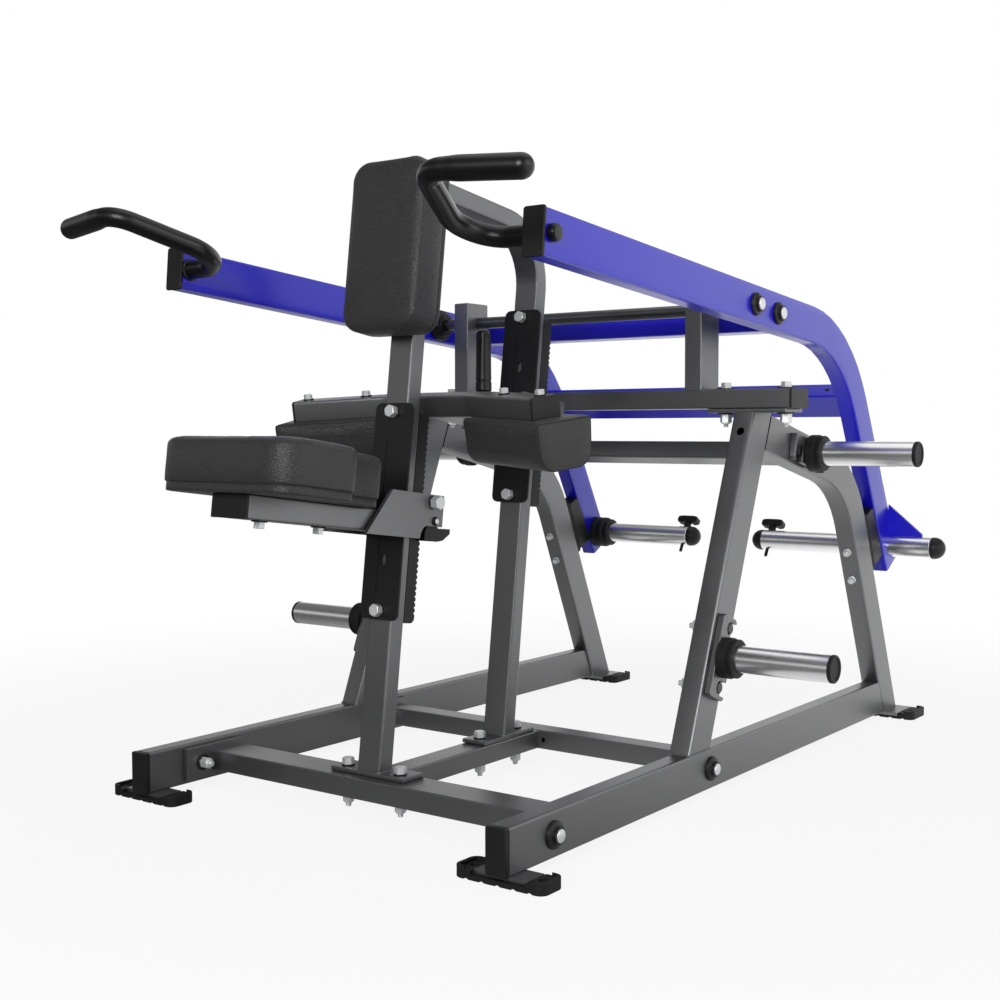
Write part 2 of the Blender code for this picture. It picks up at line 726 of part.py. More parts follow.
def build_legs():
    """Front legs, curved rear legs and the tilted rear crossmember."""
    line = (FRONT_LEG_SLOPE, 1.0)
    mid = FRONT_LEG_FOOT + FRONT_LEG_LEVEL / 2
    low = RAIL_TOP + GAP
    high = BEAM_Z0 - GAP - BEAM_PLATE_T + 1
    foot = Vector((mid + FRONT_LEG_SLOPE * (low - RAIL_TOP), low))
    head = Vector((mid + FRONT_LEG_SLOPE * (high - RAIL_TOP), high))
    heading = Vector(line).normalized()
    depth = FRONT_LEG_LEVEL * math.cos(math.atan(FRONT_LEG_SLOPE))
    for side in (-1, 1):
        word = mirror_name(side)
        ob = side_tube(word + "_front_leg", [(foot, heading), (head, heading)], depth,
                       side * LEG_MID, LEG_W, start_cut=(-1, 0), end_cut=(-1, 0), closed=(False, True))
        xs = sorted((side * BEAM_PLATE_X[0], side * BEAM_PLATE_X[1]))
        combine(ob, box(word + "_beam_plate",
                        (xs[0], BEAM_Y - TUBE_D / 2, BEAM_Z0 - GAP - BEAM_PLATE_T),
                        (xs[1], BEAM_Y + TUBE_D / 2, BEAM_Z0 - GAP), 1.5), "UNION")
        z = 676.0
        y = FRONT_LEG_FOOT + FRONT_LEG_SLOPE * (z - RAIL_TOP)
        normal = Vector((0, -heading.y, heading.x))
        at = Vector((side * LEG_MID, y, z))
        combine(ob, rod("leg_hole", at + normal * 8, at - normal * 8, LEG_HOLE / 2, 20))

        slope = Vector((1.0, -REAR_LEG_SLOPE)).normalized()
        knee = Vector(REAR_LEG_KNEE)
        back = mid + FRONT_LEG_LEVEL / 2 + GAP * 1.2
        # Where the leg's centre line meets the back face of the front leg.
        top_y = (back + FRONT_LEG_SLOPE * (knee.y + REAR_LEG_SLOPE * knee.x - RAIL_TOP)) / (
            1 + FRONT_LEG_SLOPE * REAR_LEG_SLOPE)
        start = Vector((top_y, knee.y - REAR_LEG_SLOPE * (top_y - knee.x)))
        end = Vector((rear_leg_centre(RAIL_BOTTOM), RAIL_BOTTOM))
        path = fillet([start, knee, end], [REAR_LEG_BEND])
        ob = side_tube(word + "_rear_leg", path, TUBE_D, side * LEG_MID, LEG_W, start_cut=line,
                       end_cut=(1, 0))
        combine(ob, box(word + "_rear_foot_plate",
                        (side * X_MID - FOOT_PLATE_HALF, end.x - TUBE_D / 2,
                         RAIL_BOTTOM - FOOT_PLATE_T),
                        (side * X_MID + FOOT_PLATE_HALF, FOOT_REAR_Y + FOOT_DEPTH["rear"] / 2 - 4,
                         RAIL_BOTTOM + 1)), "UNION")
        combine(ob, rod("rear_leg_drain", (side * X_MID, FOOT_REAR_Y, 0),
                        (side * X_MID, FOOT_REAR_Y, 30), 6, 16))
    inside = BASE_HALF - LEG_W - GAP
    knee_y, knee_z = REAR_LEG_KNEE
    z = knee_z + REAR_LEG_SLOPE * (knee_y - REAR_CROSS_Y)
    profile_tube("rear_crossmember", -TUBE_D / 2, TUBE_D / 2, -TUBE_W / 2, TUBE_W / 2,
                 -inside, inside, location=(0, REAR_CROSS_Y, z),
                 rotation=(-math.atan(REAR_LEG_SLOPE), 0, 0))


def build_crossbeam():
    """Crossbeam with two uprights that carry the pivot shaft."""
    y0 = BEAM_Y - TUBE_D / 2
    y1 = BEAM_Y + TUBE_D / 2
    z1 = BEAM_Z0 + TUBE_W
    ob = box("crossbeam_frame", (-BEAM_HALF, y0, BEAM_Z0), (BEAM_HALF, y1, z1), 3.0,
             material=GREY_COAT)
    for side in (-1, 1):
        xs = sorted((side * UPRIGHT_X[0], side * UPRIGHT_X[1]))
        combine(ob, box("upright", (xs[0], y0 + 0.4, z1 - 8), (xs[1], y1 - 0.4, UPRIGHT_TOP), 3.0),
                "UNION")
    combine(ob, box("beam_void", (-BEAM_HALF + WALL, y0 + WALL, BEAM_Z0 + WALL),
                    (BEAM_HALF - WALL, y1 - WALL, z1 - WALL)))
    for side in (-1, 1):
        xs = sorted((side * UPRIGHT_X[0], side * UPRIGHT_X[1]))
        combine(ob, box("upright_void", (xs[0] + WALL, y0 + WALL + 1, BEAM_Z0 + WALL + 1),
                        (xs[1] - WALL, y1 - WALL - 1, UPRIGHT_TOP - WALL)))
    combine(ob, rod("shaft_bore", (-320, PIVOT_Y, PIVOT_Z), (320, PIVOT_Y, PIVOT_Z),
                    SHAFT_R + BORE_GAP, 24))
    rod("pivot_shaft", (-X_IN + 1, PIVOT_Y, PIVOT_Z), (X_IN - 1, PIVOT_Y, PIVOT_Z), SHAFT_R, 24,
        material=BRIGHT)


def lever_local(y, z):
    """Side-view point relative to the pivot."""
    return (y - PIVOT_Y, z - PIVOT_Z)


def build_lever():
    """Bent arms with their bearings, cross tubes, horns and handles."""
    front = Vector(lever_local(*ARM_FRONT))
    knee = Vector(lever_local(*ARM_KNEE))
    end = Vector(lever_local(*ARM_END))
    down = (end - knee).normalized()
    across = Vector((-down.y, down.x))
    path = fillet([front, knee, end], [ARM_BEND])
    run = (knee - front).normalized()
    handle_z = front.y + run.y / run.x * (HANDLE_Y - ARM_FRONT[0])
    horn_z = HORN_Z - PIVOT_Z
    horn_y = end.x + (horn_z - end.y) * down.x / down.y
    for side in (-1, 1):
        word = mirror_name(side)
        arm = side_tube(word + "_arm", path, TUBE_D, side * X_MID, material=BLUE_COAT,
                        closed=(False, True), parent=LEVER)
        xs = sorted((side * (BASE_HALF - 2), side * (BASE_HALF + GUSSET_REACH)))
        foot = horn_z + HORN_R + GAP
        x0 = side * (BASE_HALF - 2)
        x1 = side * (BASE_HALF + GUSSET_REACH)
        loop = [(x0, foot), (x1, foot), (x1, foot + 6), (x0, foot + GUSSET_RISE)]
        if side < 0:
            loop.reverse()
        combine(arm, prism(word + "_gusset", loop, GUSSET_T, ALONG_Y, -horn_y, parent=LEVER),
                "UNION")
        combine(arm, rod("horn_bore", (side * (X_IN - 5), horn_y, horn_z),
                         (side * (BASE_HALF + 5), horn_y, horn_z), HORN_R + BORE_GAP, 22,
                         parent=LEVER))
        combine(arm, rod("handle_bore", (side * (X_IN - 5), HANDLE_Y - PIVOT_Y, handle_z),
                         (side * (BASE_HALF + 5), HANDLE_Y - PIVOT_Y, handle_z),
                         HANDLE_STUB_R + BORE_GAP, 20, parent=LEVER))

        over = ARM_CAP_OVER
        loop = ribbon([(front - run * (GAP + ARM_CAP_WALL), run),
                       (front + run * ARM_CAP_SKIRT, run)], TUBE_D / 2 + over)
        cap = prism(word + "_arm_cap", loop, TUBE_W + 2 * over, centre=side * X_MID, bevel=3.0,
                    material=PLASTIC, parent=LEVER)
        loop = ribbon([(front - run * GAP, run), (front + run * 60, run)], TUBE_D / 2 + GAP)
        combine(cap, prism(word + "_cap_bore", loop, TUBE_W + 2 * GAP, centre=side * X_MID,
                           parent=LEVER))
        combine(cap, rod(word + "_cap_bite", (side * (X_IN - 9), HANDLE_Y - PIVOT_Y, handle_z),
                         (side * (BASE_HALF + 9), HANDLE_Y - PIVOT_Y, handle_z),
                         HANDLE_R + SLIDE_GAP, 22, parent=LEVER))

        turned(word + "_bearing_hub",
               [(SHAFT_R + BORE_GAP, 0), (HUB_R - 1.5, 0), (HUB_R, 1.5), (HUB_R, HUB_T - 2),
                (HUB_R - 2, HUB_T), (HUB_BARREL_R + 2, HUB_T), (HUB_BARREL_R, HUB_T + 3),
                (HUB_BARREL_R, HUB_LENGTH - 2), (HUB_BARREL_R - 2, HUB_LENGTH),
                (SHAFT_R + BORE_GAP, HUB_LENGTH)],
               (side * (X_IN - GAP), 0, 0), (-side, 0, 0), PLASTIC, 24, LEVER)

        dome = [(HORN_R * math.cos(math.radians(a)), HORN_DOME * math.sin(math.radians(a)))
                for a in range(0, 90, 18)]
        reach = HORN_OUT - HORN_IN
        profile = [(0, 0)]
        profile += [(r, HORN_DOME - s) for r, s in reversed(dome)]
        profile += [(r, reach - HORN_DOME + s) for r, s in dome]
        profile += [(0, reach)]
        horn = turned(word + "_lever_horn", profile[::-1], (side * HORN_IN, horn_y, horn_z),
                      (side, 0, 0), BRIGHT, 22, LEVER)
        turned(word + "_horn_collar",
               [(HORN_R + BORE_GAP, 0), (HORN_COLLAR_R, 0), (HORN_COLLAR_R, 36),
                (HORN_COLLAR_R - 4, 42), (HORN_R + 6, HORN_COLLAR_T - GAP),
                (HORN_R + BORE_GAP, HORN_COLLAR_T - GAP)],
               (side * (X_IN - GAP), horn_y, horn_z), (-side, 0, 0), RUBBER, 22, LEVER)
        build_pin(word, side, horn, horn_y, horn_z)
        build_handle(word, side, handle_z)
    y, z = lever_local(*UPPER_CROSS)
    profile_tube("upper_cross_tube", y - TUBE_D / 2, y + TUBE_D / 2, z - TUBE_W / 2,
                 z + TUBE_W / 2, -X_IN + GAP, X_IN - GAP, material=BLUE_COAT, parent=LEVER)
    y, z = lever_local(*LOWER_CROSS)
    ob = profile_tube("lower_cross_tube", -TUBE_D / 2, TUBE_D / 2, -TUBE_W / 2, TUBE_W / 2,
                      -X_IN + GAP, X_IN - GAP, material=BLUE_COAT, parent=LEVER,
                      location=(0, y, z), rotation=(-math.radians(LOWER_CROSS_TILT), 0, 0))
    return ob


def build_pin(word, side, horn, horn_y, horn_z):
    """Pull pin with a T-knob across the tip of the inner horn."""
    tilt = math.radians(PIN_TILT)
    up = Vector((0, math.sin(tilt), math.cos(tilt)))
    centre = Vector((side * PIN_X, horn_y, horn_z))
    frame = make_empty(word + "_pin_axis", centre, (-tilt, 0, 0), LEVER)
    combine(horn, rod(word + "_pin_bore", centre - up * 60, centre + up * 60, PIN_R + BORE_GAP,
                      16, parent=LEVER))
    top = HORN_R + 5.0
    pin = rod(word + "_lock_pin", (0, 0, -HORN_R - PIN_BELOW), (0, 0, top + 12), PIN_R, 16,
              material=PLASTIC, parent=frame)
    combine(pin, rod(word + "_pin_collar", (0, 0, top), (0, 0, top + 9), 10, 16, parent=frame),
            "UNION")
    combine(pin, box(word + "_pin_knob", (-KNOB[0] / 2, -KNOB[1] / 2, top + 8),
                     (KNOB[0] / 2, KNOB[1] / 2, top + 8 + KNOB[2]), 5.0, parent=frame), "UNION")


def build_handle(word, side, handle_z):
    """Bent handle through the arm, with a rubber grip on its end."""
    offset = Vector((0, PIVOT_Y, PIVOT_Z))
    points = [Vector((side * (X_IN + x), y, z)) - offset for x, y, z in HANDLE_POINTS]
    points[0].z = handle_z
    # A spigot passes through the arm and the full tube butts its inner face.
    start = Vector((side * (X_IN - GAP), points[0].y, handle_z))
    path = [p for p, _ in fillet([start, *points], list(HANDLE_BENDS), 14.0)]
    # The last stretch carries the grip and stops inside its closed end.
    grip_dir = (points[2] - points[1]).normalized()
    path[-1] = points[2] + grip_dir * HANDLE_REACH
    stub = Vector((side * (BASE_HALF + HANDLE_STUB), points[0].y, handle_z))
    step = start + Vector((side * 0.02, 0, 0))
    curve = bpy.data.curves.new(word + "_handle", "CURVE")
    curve.dimensions = "3D"
    curve.bevel_depth = MM
    curve.bevel_resolution = 3
    curve.use_fill_caps = True
    spline = curve.splines.new("POLY")
    stations = [(stub, HANDLE_STUB_R), (step, HANDLE_STUB_R)] + [(p, HANDLE_R) for p in path]
    spline.points.add(len(stations) - 1)
    for point, (place, radius) in zip(spline.points, stations):
        point.co = (*(place * MM), 1)
        point.radius = radius
    holder = bpy.data.objects.new(word + "_handle", curve)
    bpy.context.scene.collection.objects.link(holder)
    graph = bpy.context.evaluated_depsgraph_get()
    mesh = bpy.data.meshes.new_from_object(holder.evaluated_get(graph))
    bpy.data.objects.remove(holder, do_unlink=True)
    bm = bmesh.new()
    bm.from_mesh(mesh)
    bpy.data.meshes.remove(mesh)
    bmesh.ops.scale(bm, vec=(1 / MM, 1 / MM, 1 / MM), verts=bm.verts)
    bmesh.ops.remove_doubles(bm, verts=bm.verts, dist=0.001)
    to_object(bm, word + "_handle", PLASTIC, LEVER)
    reach = HANDLE_BENDS[1] * math.tan((points[1] - points[0]).angle(points[2] - points[1]) / 2)
    begin = points[1] + grip_dir * (reach + 1.0)
    length = (points[2] + grip_dir * GRIP_R - begin).length
    bore = HANDLE_R + BORE_GAP
    seat = length - GRIP_R + HANDLE_REACH + GAP
    profile = [(0, length)]
    profile += [(GRIP_R * math.sin(math.radians(a)), length - GRIP_R
                 + GRIP_R * math.cos(math.radians(a))) for a in (18, 36, 54, 72, 90)]
    profile += [(GRIP_R, 1.5), (GRIP_R - 0.8, 0), (bore, 0), (bore, seat), (0, seat)]
    turned(word + "_grip", profile, begin, grip_dir, RUBBER, 22, LEVER)


def build_storage():
    """Storage horns on bracket plates, with rubber collars."""
    slopes = {"front": math.atan(FRONT_LEG_SLOPE), "rear": math.atan(REAR_LEG_SLOPE) + math.pi / 2}
    for where, (y, z) in (("front", STORE_FRONT), ("rear", STORE_REAR)):
        for side in (-1, 1):
            word = mirror_name(side) + "_" + where
            spot = make_empty(word + "_store_axis", (side * (BASE_HALF + GAP), y, z),
                              (-slopes[where], 0, 0), ROOT)
            wide, tall, thick = STORE_PLATE
            loop = rounded_rect(-wide / 2, wide / 2, -tall / 2, tall / 2, 6, 2)
            ob = prism(word + "_storage_horn", loop, thick, centre=side * thick / 2,
                       material=BRIGHT, parent=spot)
            tip = STORE_REACH[where] - GAP
            combine(ob, rod(word + "_store_tube", (side * (thick - 2), 0, 0), (side * tip, 0, 0),
                            STORE_R, 22, parent=spot), "UNION")
            for sign in (-1, 1):
                bite = [(wide / 2 + 5, sign * STORE_BITE_AT - STORE_BITE_R),
                        (wide / 2 + 5, sign * STORE_BITE_AT + STORE_BITE_R)]
                for i in range(9):
                    angle = math.radians(90 + 180 * i / 8)
                    bite.append((8 + STORE_BITE_R * math.cos(angle),
                                 sign * STORE_BITE_AT + STORE_BITE_R * math.sin(angle)))
                combine(ob, prism("bite", bite, 60, parent=spot))
            depth = STORE_COLLAR_REACH - GAP
            turned(word + "_storage_collar",
                   [(STORE_R + BORE_GAP, thick + GAP), (STORE_COLLAR_R, thick + GAP),
                    (STORE_COLLAR_R, depth - 9), (STORE_COLLAR_R - 4, depth - 3),
                    (STORE_R + 6, depth), (STORE_R + BORE_GAP, depth)],
                   (0, 0, 0), (side, 0, 0), RUBBER, 22, spot)


def build_bumpers():
    """Wedge bumpers on the rear legs, where the arms come to rest."""
    down = Vector(REAR_DOWN)
    out = Vector(REAR_OUT)
    arm_end = Vector(ARM_END)
    arm_up = (Vector(ARM_KNEE) - arm_end).normalized()
    arm_face = Vector((-arm_up.y, arm_up.x))
    face_point = arm_end + arm_face * (TUBE_D / 2 + GAP)
    points = []
    for z in BUMPER_Z:
        on_leg = Vector((rear_leg_centre(z), z)) + out * (TUBE_D / 2 + GAP)
        reach = (face_point - on_leg).dot(arm_face) / out.dot(arm_face)
        points.append((on_leg, on_leg + out * reach))
    (low_in, low_out), (high_in, high_out) = points
    loop = [tuple(low_in), tuple(low_out), tuple(high_out), tuple(high_in)]
    for side in (-1, 1):
        prism(mirror_name(side) + "_bumper", loop, TUBE_W, centre=side * X_MID, bevel=2.0,
              material=RUBBER)
    return down


def cheek_loop(tube_top, notch):
    """Side outline of a carriage plate."""
    top = tube_top + CHEEK_RISE
    low = top - CHEEK_HEIGHT
    loop = [(-CHEEK_FOOT_FRONT, low), (-CHEEK_TOP_FRONT, top), (CHEEK_REAR, top)]
    if notch:
        loop += [(CHEEK_REAR, low + 24), (30, low + 24), (22, low + 20), (16, low + 10), (14, low)]
    else:
        loop += [(CHEEK_REAR, low + 24), (CHEEK_REAR - 24, low)]
    return loop[::-1]


def build_carriage(name, frame, tube_top, tube_front, notch):
    """Cantilever tube between two cheek plates that ride on the post."""
    back = -POST_D / 2 - GUIDE_T - SLIDE_GAP
    ob = box(name, (-SEAT_TUBE_W / 2, tube_front, tube_top - SEAT_TUBE_H),
             (SEAT_TUBE_W / 2, back, tube_top), 3.0, material=GREY_COAT, parent=frame)
    inner = GUIDE_W / 2 + SLIDE_GAP
    loop = cheek_loop(tube_top, notch)
    low = tube_top + CHEEK_RISE - CHEEK_HEIGHT
    for side in (-1, 1):
        combine(ob, prism(name + "_cheek", loop, CHEEK_T, centre=side * (inner + CHEEK_T / 2),
                          parent=frame), "UNION")
        xs = sorted((side * (SEAT_TUBE_W / 2 - 2), side * (inner + 2)))
        combine(ob, box(name + "_web", (xs[0], -CHEEK_TOP_FRONT - 4, tube_top - 32),
                        (xs[1], back - 2, tube_top - 6), parent=frame), "UNION")
        xs = sorted((side * (RACK_W / 2 + SLIDE_GAP), side * (inner + 2)))
        combine(ob, rod(name + "_boss", (xs[0], 45.2, low + 66.5), (xs[1], 45.2, low + 66.5), 13,
                        16, parent=frame), "UNION")
    rear = POST_D / 2 + RACK_DEPTH
    combine(ob, box(name + "_keeper", (-inner - 2, rear + SLIDE_GAP, low + 56),
                    (inner + 2, rear + SLIDE_GAP + 21, low + 76.5), parent=frame), "UNION")
    combine(ob, box(name + "_bore", (-SEAT_TUBE_W / 2 + WALL, tube_front + (-5 if notch else WALL),
                                     tube_top - SEAT_TUBE_H + WALL),
                    (SEAT_TUBE_W / 2 - WALL, back + 5, tube_top - WALL), parent=frame))
    return ob, inner, low, rear


def build_seat():
    """Seat carriage, its release lever, end cap and pad."""
    ob, inner, low, rear = build_carriage("seat_carriage", SEAT_FRAME, SEAT_TUBE_TOP,
                                          SEAT_TUBE_FRONT, True)
    pawl_y = rear + 6.0
    pawl_z = low + 33.5
    combine(ob, rod("seat_pawl_pin", (-inner - 2, pawl_y, pawl_z), (inner + 2, pawl_y, pawl_z),
                    5, 16, parent=SEAT_FRAME), "UNION")
    axis = make_empty("seat_release_axis", (0, pawl_y, pawl_z), parent=SEAT_FRAME)
    arc = [(9 * math.cos(math.radians(a)), 9 * math.sin(math.radians(a)))
           for a in range(20, 200, 20)]
    loop = arc + [(-12, -12), (-16, -20), (-16, -36), (20, -36), (36, -33), (55, -20), (55, -11),
                  (20, -12)]
    lever = prism("seat_release_lever", loop, 2 * inner - 2 * SLIDE_GAP, bevel=0,
                  material=PLASTIC, parent=axis)
    combine(lever, box("lever_rack_gap", (-RACK_W / 2 - SLIDE_GAP, -40, -60),
                       (RACK_W / 2 + SLIDE_GAP, rear + SLIDE_GAP - pawl_y, 30), parent=axis))
    # Above the pin the pawl stands back, so that it can swing out of the teeth.
    combine(lever, box("lever_swing_gap", (-RACK_W / 2 - SLIDE_GAP, -40, -4),
                       (RACK_W / 2 + SLIDE_GAP, -1.5, 30), parent=axis))
    combine(lever, rod("lever_bore", (-inner - 9, 0, 0), (inner + 9, 0, 0), 5 + BORE_GAP, 16,
                       parent=axis))
    over = 0.5
    cap = box("seat_tube_cap", (-SEAT_TUBE_W / 2 - over, SEAT_TUBE_FRONT - SEAT_CAP,
                                SEAT_TUBE_TOP - SEAT_TUBE_H - over),
              (SEAT_TUBE_W / 2 + over, SEAT_TUBE_FRONT - GAP, SEAT_TUBE_TOP + over - 0.6), 1.5,
              material=PLASTIC, parent=SEAT_FRAME)
    inset = WALL + GAP
    combine(cap, box("seat_cap_plug", (-SEAT_TUBE_W / 2 + inset, SEAT_TUBE_FRONT - 2,
                                       SEAT_TUBE_TOP - SEAT_TUBE_H + inset),
                     (SEAT_TUBE_W / 2 - inset, SEAT_TUBE_FRONT + 14, SEAT_TUBE_TOP - inset),
                     parent=SEAT_FRAME), "UNION")
    half = SEAT_PAD_HALF
    neck = SEAT_PAD_NECK
    loop = []

    def arc_about(cx, cy, radius, start, sweep, steps):
        """Points of a corner arc."""
        for i in range(steps + 1):
            angle = math.radians(start + sweep * i / steps)
            loop.append((cx + radius * math.cos(angle), cy + radius * math.sin(angle)))

    arc_about(half - 45, SEAT_PAD_FRONT + 45, 45, -90, 90, 6)
    arc_about(half - 24, SEAT_PAD_STEP - 24, 24, 0, 90, 4)
    arc_about(neck + 12, SEAT_PAD_STEP + 12, 12, -90, -90, 3)
    arc_about(neck - 18, SEAT_PAD_REAR - 18, 18, 0, 90, 3)
    loop += [(-x, y) for x, y in reversed(loop)]
    cushion("seat_pad", loop, SEAT_TUBE_TOP + GAP, SEAT_PAD_T, SEAT_FRAME,
            centre=(0, (SEAT_PAD_FRONT + 2 * SEAT_PAD_STEP) / 3))


# A cushion's side and shoulder: how far each step moves out or in, then its share of the
# height or, on the shoulder, its rise in millimetres.
SOFT_SIDE = ((1.6, 0.3), (-0.8, 0.28))
SOFT_SHOULDER = ((2.4, 11.0), (4.6, 7.0), (6.4, 4.2))
CROWN_RINGS = ((0.72, 0.6), (0.36, 0.32))


def step_face(bm, top, out, rise):
    """Extrude a flat top by one step, its outline moved out, or in where negative."""
    top = bmesh.ops.extrude_discrete_faces(bm, faces=[top])["faces"][0]
    around = [vert.co.copy() for vert in top.verts]
    for i, vert in enumerate(top.verts):
        before = (around[i] - around[i - 1]).normalized()
        after = (around[(i + 1) % len(around)] - around[i]).normalized()
        normal = Vector((before.y + after.y, -before.x - after.x, 0)).normalized()
        spread = max(0.5, normal.dot(Vector((before.y, -before.x, 0))))
        vert.co = around[i] + normal * (out / spread) + Vector((0, 0, rise))
    return top


def cushion(name, loop, base, height, frame, axes=ALONG_Z, board=12.0, inset=4.0,
            side=SOFT_SIDE, shoulder=SOFT_SHOULDER, centre=None, **place):
    """Padded board: drawn-in sides, rounded shoulder and a crowned face."""
    bm = outline_bmesh([loop], board, ALONG_Z, board / 2, True)
    top = max(bm.faces, key=lambda face: face.calc_center_median().z * (face.normal.z > 0.9))
    top = step_face(bm, top, inset, 0.0)
    body = height - board
    for out, share in side:
        top = step_face(bm, top, out, body * share)
    used = body * sum(share for _, share in side) + sum(rise for _, rise in shoulder)
    for inward, rise in shoulder:
        top = step_face(bm, top, -inward, rise)
    middle = Vector((*(centre or top.calc_center_median().xy), 0))
    left = body - used
    risen = 0.0
    for scale, share in CROWN_RINGS:
        top = bmesh.ops.extrude_discrete_faces(bm, faces=[top])["faces"][0]
        for vert in top.verts:
            flat = Vector((vert.co.x, vert.co.y, 0))
            flat = middle + (flat - middle) * scale
            vert.co = Vector((flat.x, flat.y, vert.co.z + left * share))
        risen += share
    cap = bmesh.ops.poke(bm, faces=[top])["verts"][0]
    cap.co = Vector((middle.x, middle.y, cap.co.z + left * (1 - risen)))
    bmesh.ops.translate(bm, vec=(0, 0, base), verts=bm.verts)
    bm.transform(axes)
    return to_object(bm, name, LEATHER, frame, **place)


def build_chest():
    """Chest pad on the front of the seat post."""
    loop = rounded_rect(-CHEST_HALF + 5, CHEST_HALF - 5, CHEST_LOW + 5, CHEST_HIGH - 5,
                        CHEST_CORNER - 5, 5)
    turn = Matrix(((1, 0, 0, 0), (0, 0, -1, 0), (0, 1, 0, 0), (0, 0, 0, 1)))
    cushion("chest_pad", loop, POST_D / 2 + GAP, CHEST_T, SEAT_FRAME, turn)


def build_thigh():
    """Swept thigh bar on its carriage, two pads and the upright release grip."""
    sweep = math.radians(THIGH_BAR_SWEEP)
    pitch = math.radians(THIGH_BAR_PITCH)
    back_edge = THIGH_BAR_FRONT + THIGH_BAR_D
    ob, _, _, _ = build_carriage("thigh_carriage", MAST_FRAME, THIGH_TUBE_TOP,
                                          back_edge - 12, False)
    lug_y = GRIP_Y
    lug_z = THIGH_TUBE_TOP + GRIP_PIVOT_RISE
    for side in (-1, 1):
        xs = sorted((side * 9, side * 16))
        combine(ob, box("grip_lug", (xs[0], lug_y - 9, THIGH_TUBE_TOP - 1.5),
                        (xs[1], lug_y + 9, lug_z + 8), parent=MAST_FRAME), "UNION")
    combine(ob, rod("grip_pivot", (-12, lug_y, lug_z), (12, lug_y, lug_z), 4, 16,
                    parent=MAST_FRAME), "UNION")
    bar_z = THIGH_TUBE_TOP - SEAT_TUBE_H / 2 - THIGH_BAR_DROP
    along = Vector((math.cos(sweep), -math.sin(sweep)))
    outward = (THIGH_BAR_REACH - THIGH_BAR_FLAT) / along.x
    tip = Vector((THIGH_BAR_FLAT, 0)) + along * outward
    tip = tip + Vector((math.sin(sweep), math.cos(sweep))) * (THIGH_BAR_D / 2)
    bend = tip - along * ((tip.y - THIGH_BAR_D / 2) / along.y)
    points = [Vector((-tip.x, tip.y)), Vector((-bend.x, bend.y)), bend, tip]
    path = fillet(points, [THIGH_BAR_BEND, THIGH_BAR_BEND], 6.0)
    loop = ribbon(path, THIGH_BAR_D / 2)
    bm = outline_bmesh([loop], THIGH_BAR_H, ALONG_Z, flat_faces=True)
    round_long_edges(bm, [Vector((*path[0][0], 0)), Vector((*path[-1][0], 0))], CORNER_R)
    bar_frame = make_empty("thigh_bar_frame", (0, THIGH_BAR_FRONT, bar_z),
                           (LEAN_ANGLE + pitch, 0, 0), MAST_FRAME)
    combine(ob, to_object(bm, "thigh_bar", None, bar_frame), "UNION")
    bore = ribbon(extend(path, 20, 20), THIGH_BAR_D / 2 - WALL)
    combine(ob, to_object(outline_bmesh([bore], THIGH_BAR_H - 2 * WALL, ALONG_Z),
                          "thigh_bar_bore", None, bar_frame))
    wide, deep, tall = THIGH_PAD
    front = tip - Vector((math.sin(sweep), math.cos(sweep))) * (THIGH_BAR_D / 2)
    for side in (-1, 1):
        word = mirror_name(side)
        spot = make_empty(word + "_thigh_pad_frame", (side * front.x, front.y,
                                                      -THIGH_BAR_H / 2 - GAP),
                          (0, 0, -side * sweep), bar_frame)
        x1 = side * 37.0
        x0 = side * (37.0 - wide)
        xs = sorted((x0, x1))
        flat = rounded_rect(xs[0], xs[1], -18, deep - 18, THIGH_PAD_CORNER, 4)
        prism(word + "_thigh_pad", flat, tall, ALONG_Z, -tall / 2, bevel=4, material=LEATHER,
              parent=spot)
    axis = make_empty("thigh_release_axis", (0, lug_y, lug_z), (LEAN_ANGLE, 0, 0), MAST_FRAME)
    lever = turned("thigh_release_lever",
                   [(0, 133), (6, 132.4), (11, 129.5), (13.6, 125), (14.6, 117), (15.5, 44),
                    (15.8, 20), (15, 14), (11, 12.5), (0, 12.5)],
                   (0, 0, 0), (0, 0, 1), PLASTIC, 20, axis)
    combine(lever, box("grip_tongue", (-8.4, -8, -8), (8.4, 8, 14), parent=axis), "UNION")
    combine(lever, rod("grip_bore", (-20, 0, 0), (20, 0, 0), 4 + BORE_GAP, 16, parent=axis))


build_feet()
build_base()
build_posts()
build_guides()
build_legs()
build_crossbeam()
build_lever()
build_storage()
build_bumpers()
build_seat()
build_chest()
build_thigh()
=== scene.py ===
"""Plate-loaded triceps pushdown machine: finishes, upholstery, fittings, light and camera.

Sizes are millimetres on the machine's own axes: X to the sitter's right, Y to the rear and
Z up from the floor. Each sub-assembly is a class that holds its sizes and builds its pieces.
"""

from __future__ import annotations

import logging
import math
from dataclasses import dataclass
from enum import Enum
from typing import Iterable, Sequence

import bmesh
import bpy
from mathutils import Matrix, Vector
from mathutils.geometry import delaunay_2d_cdt


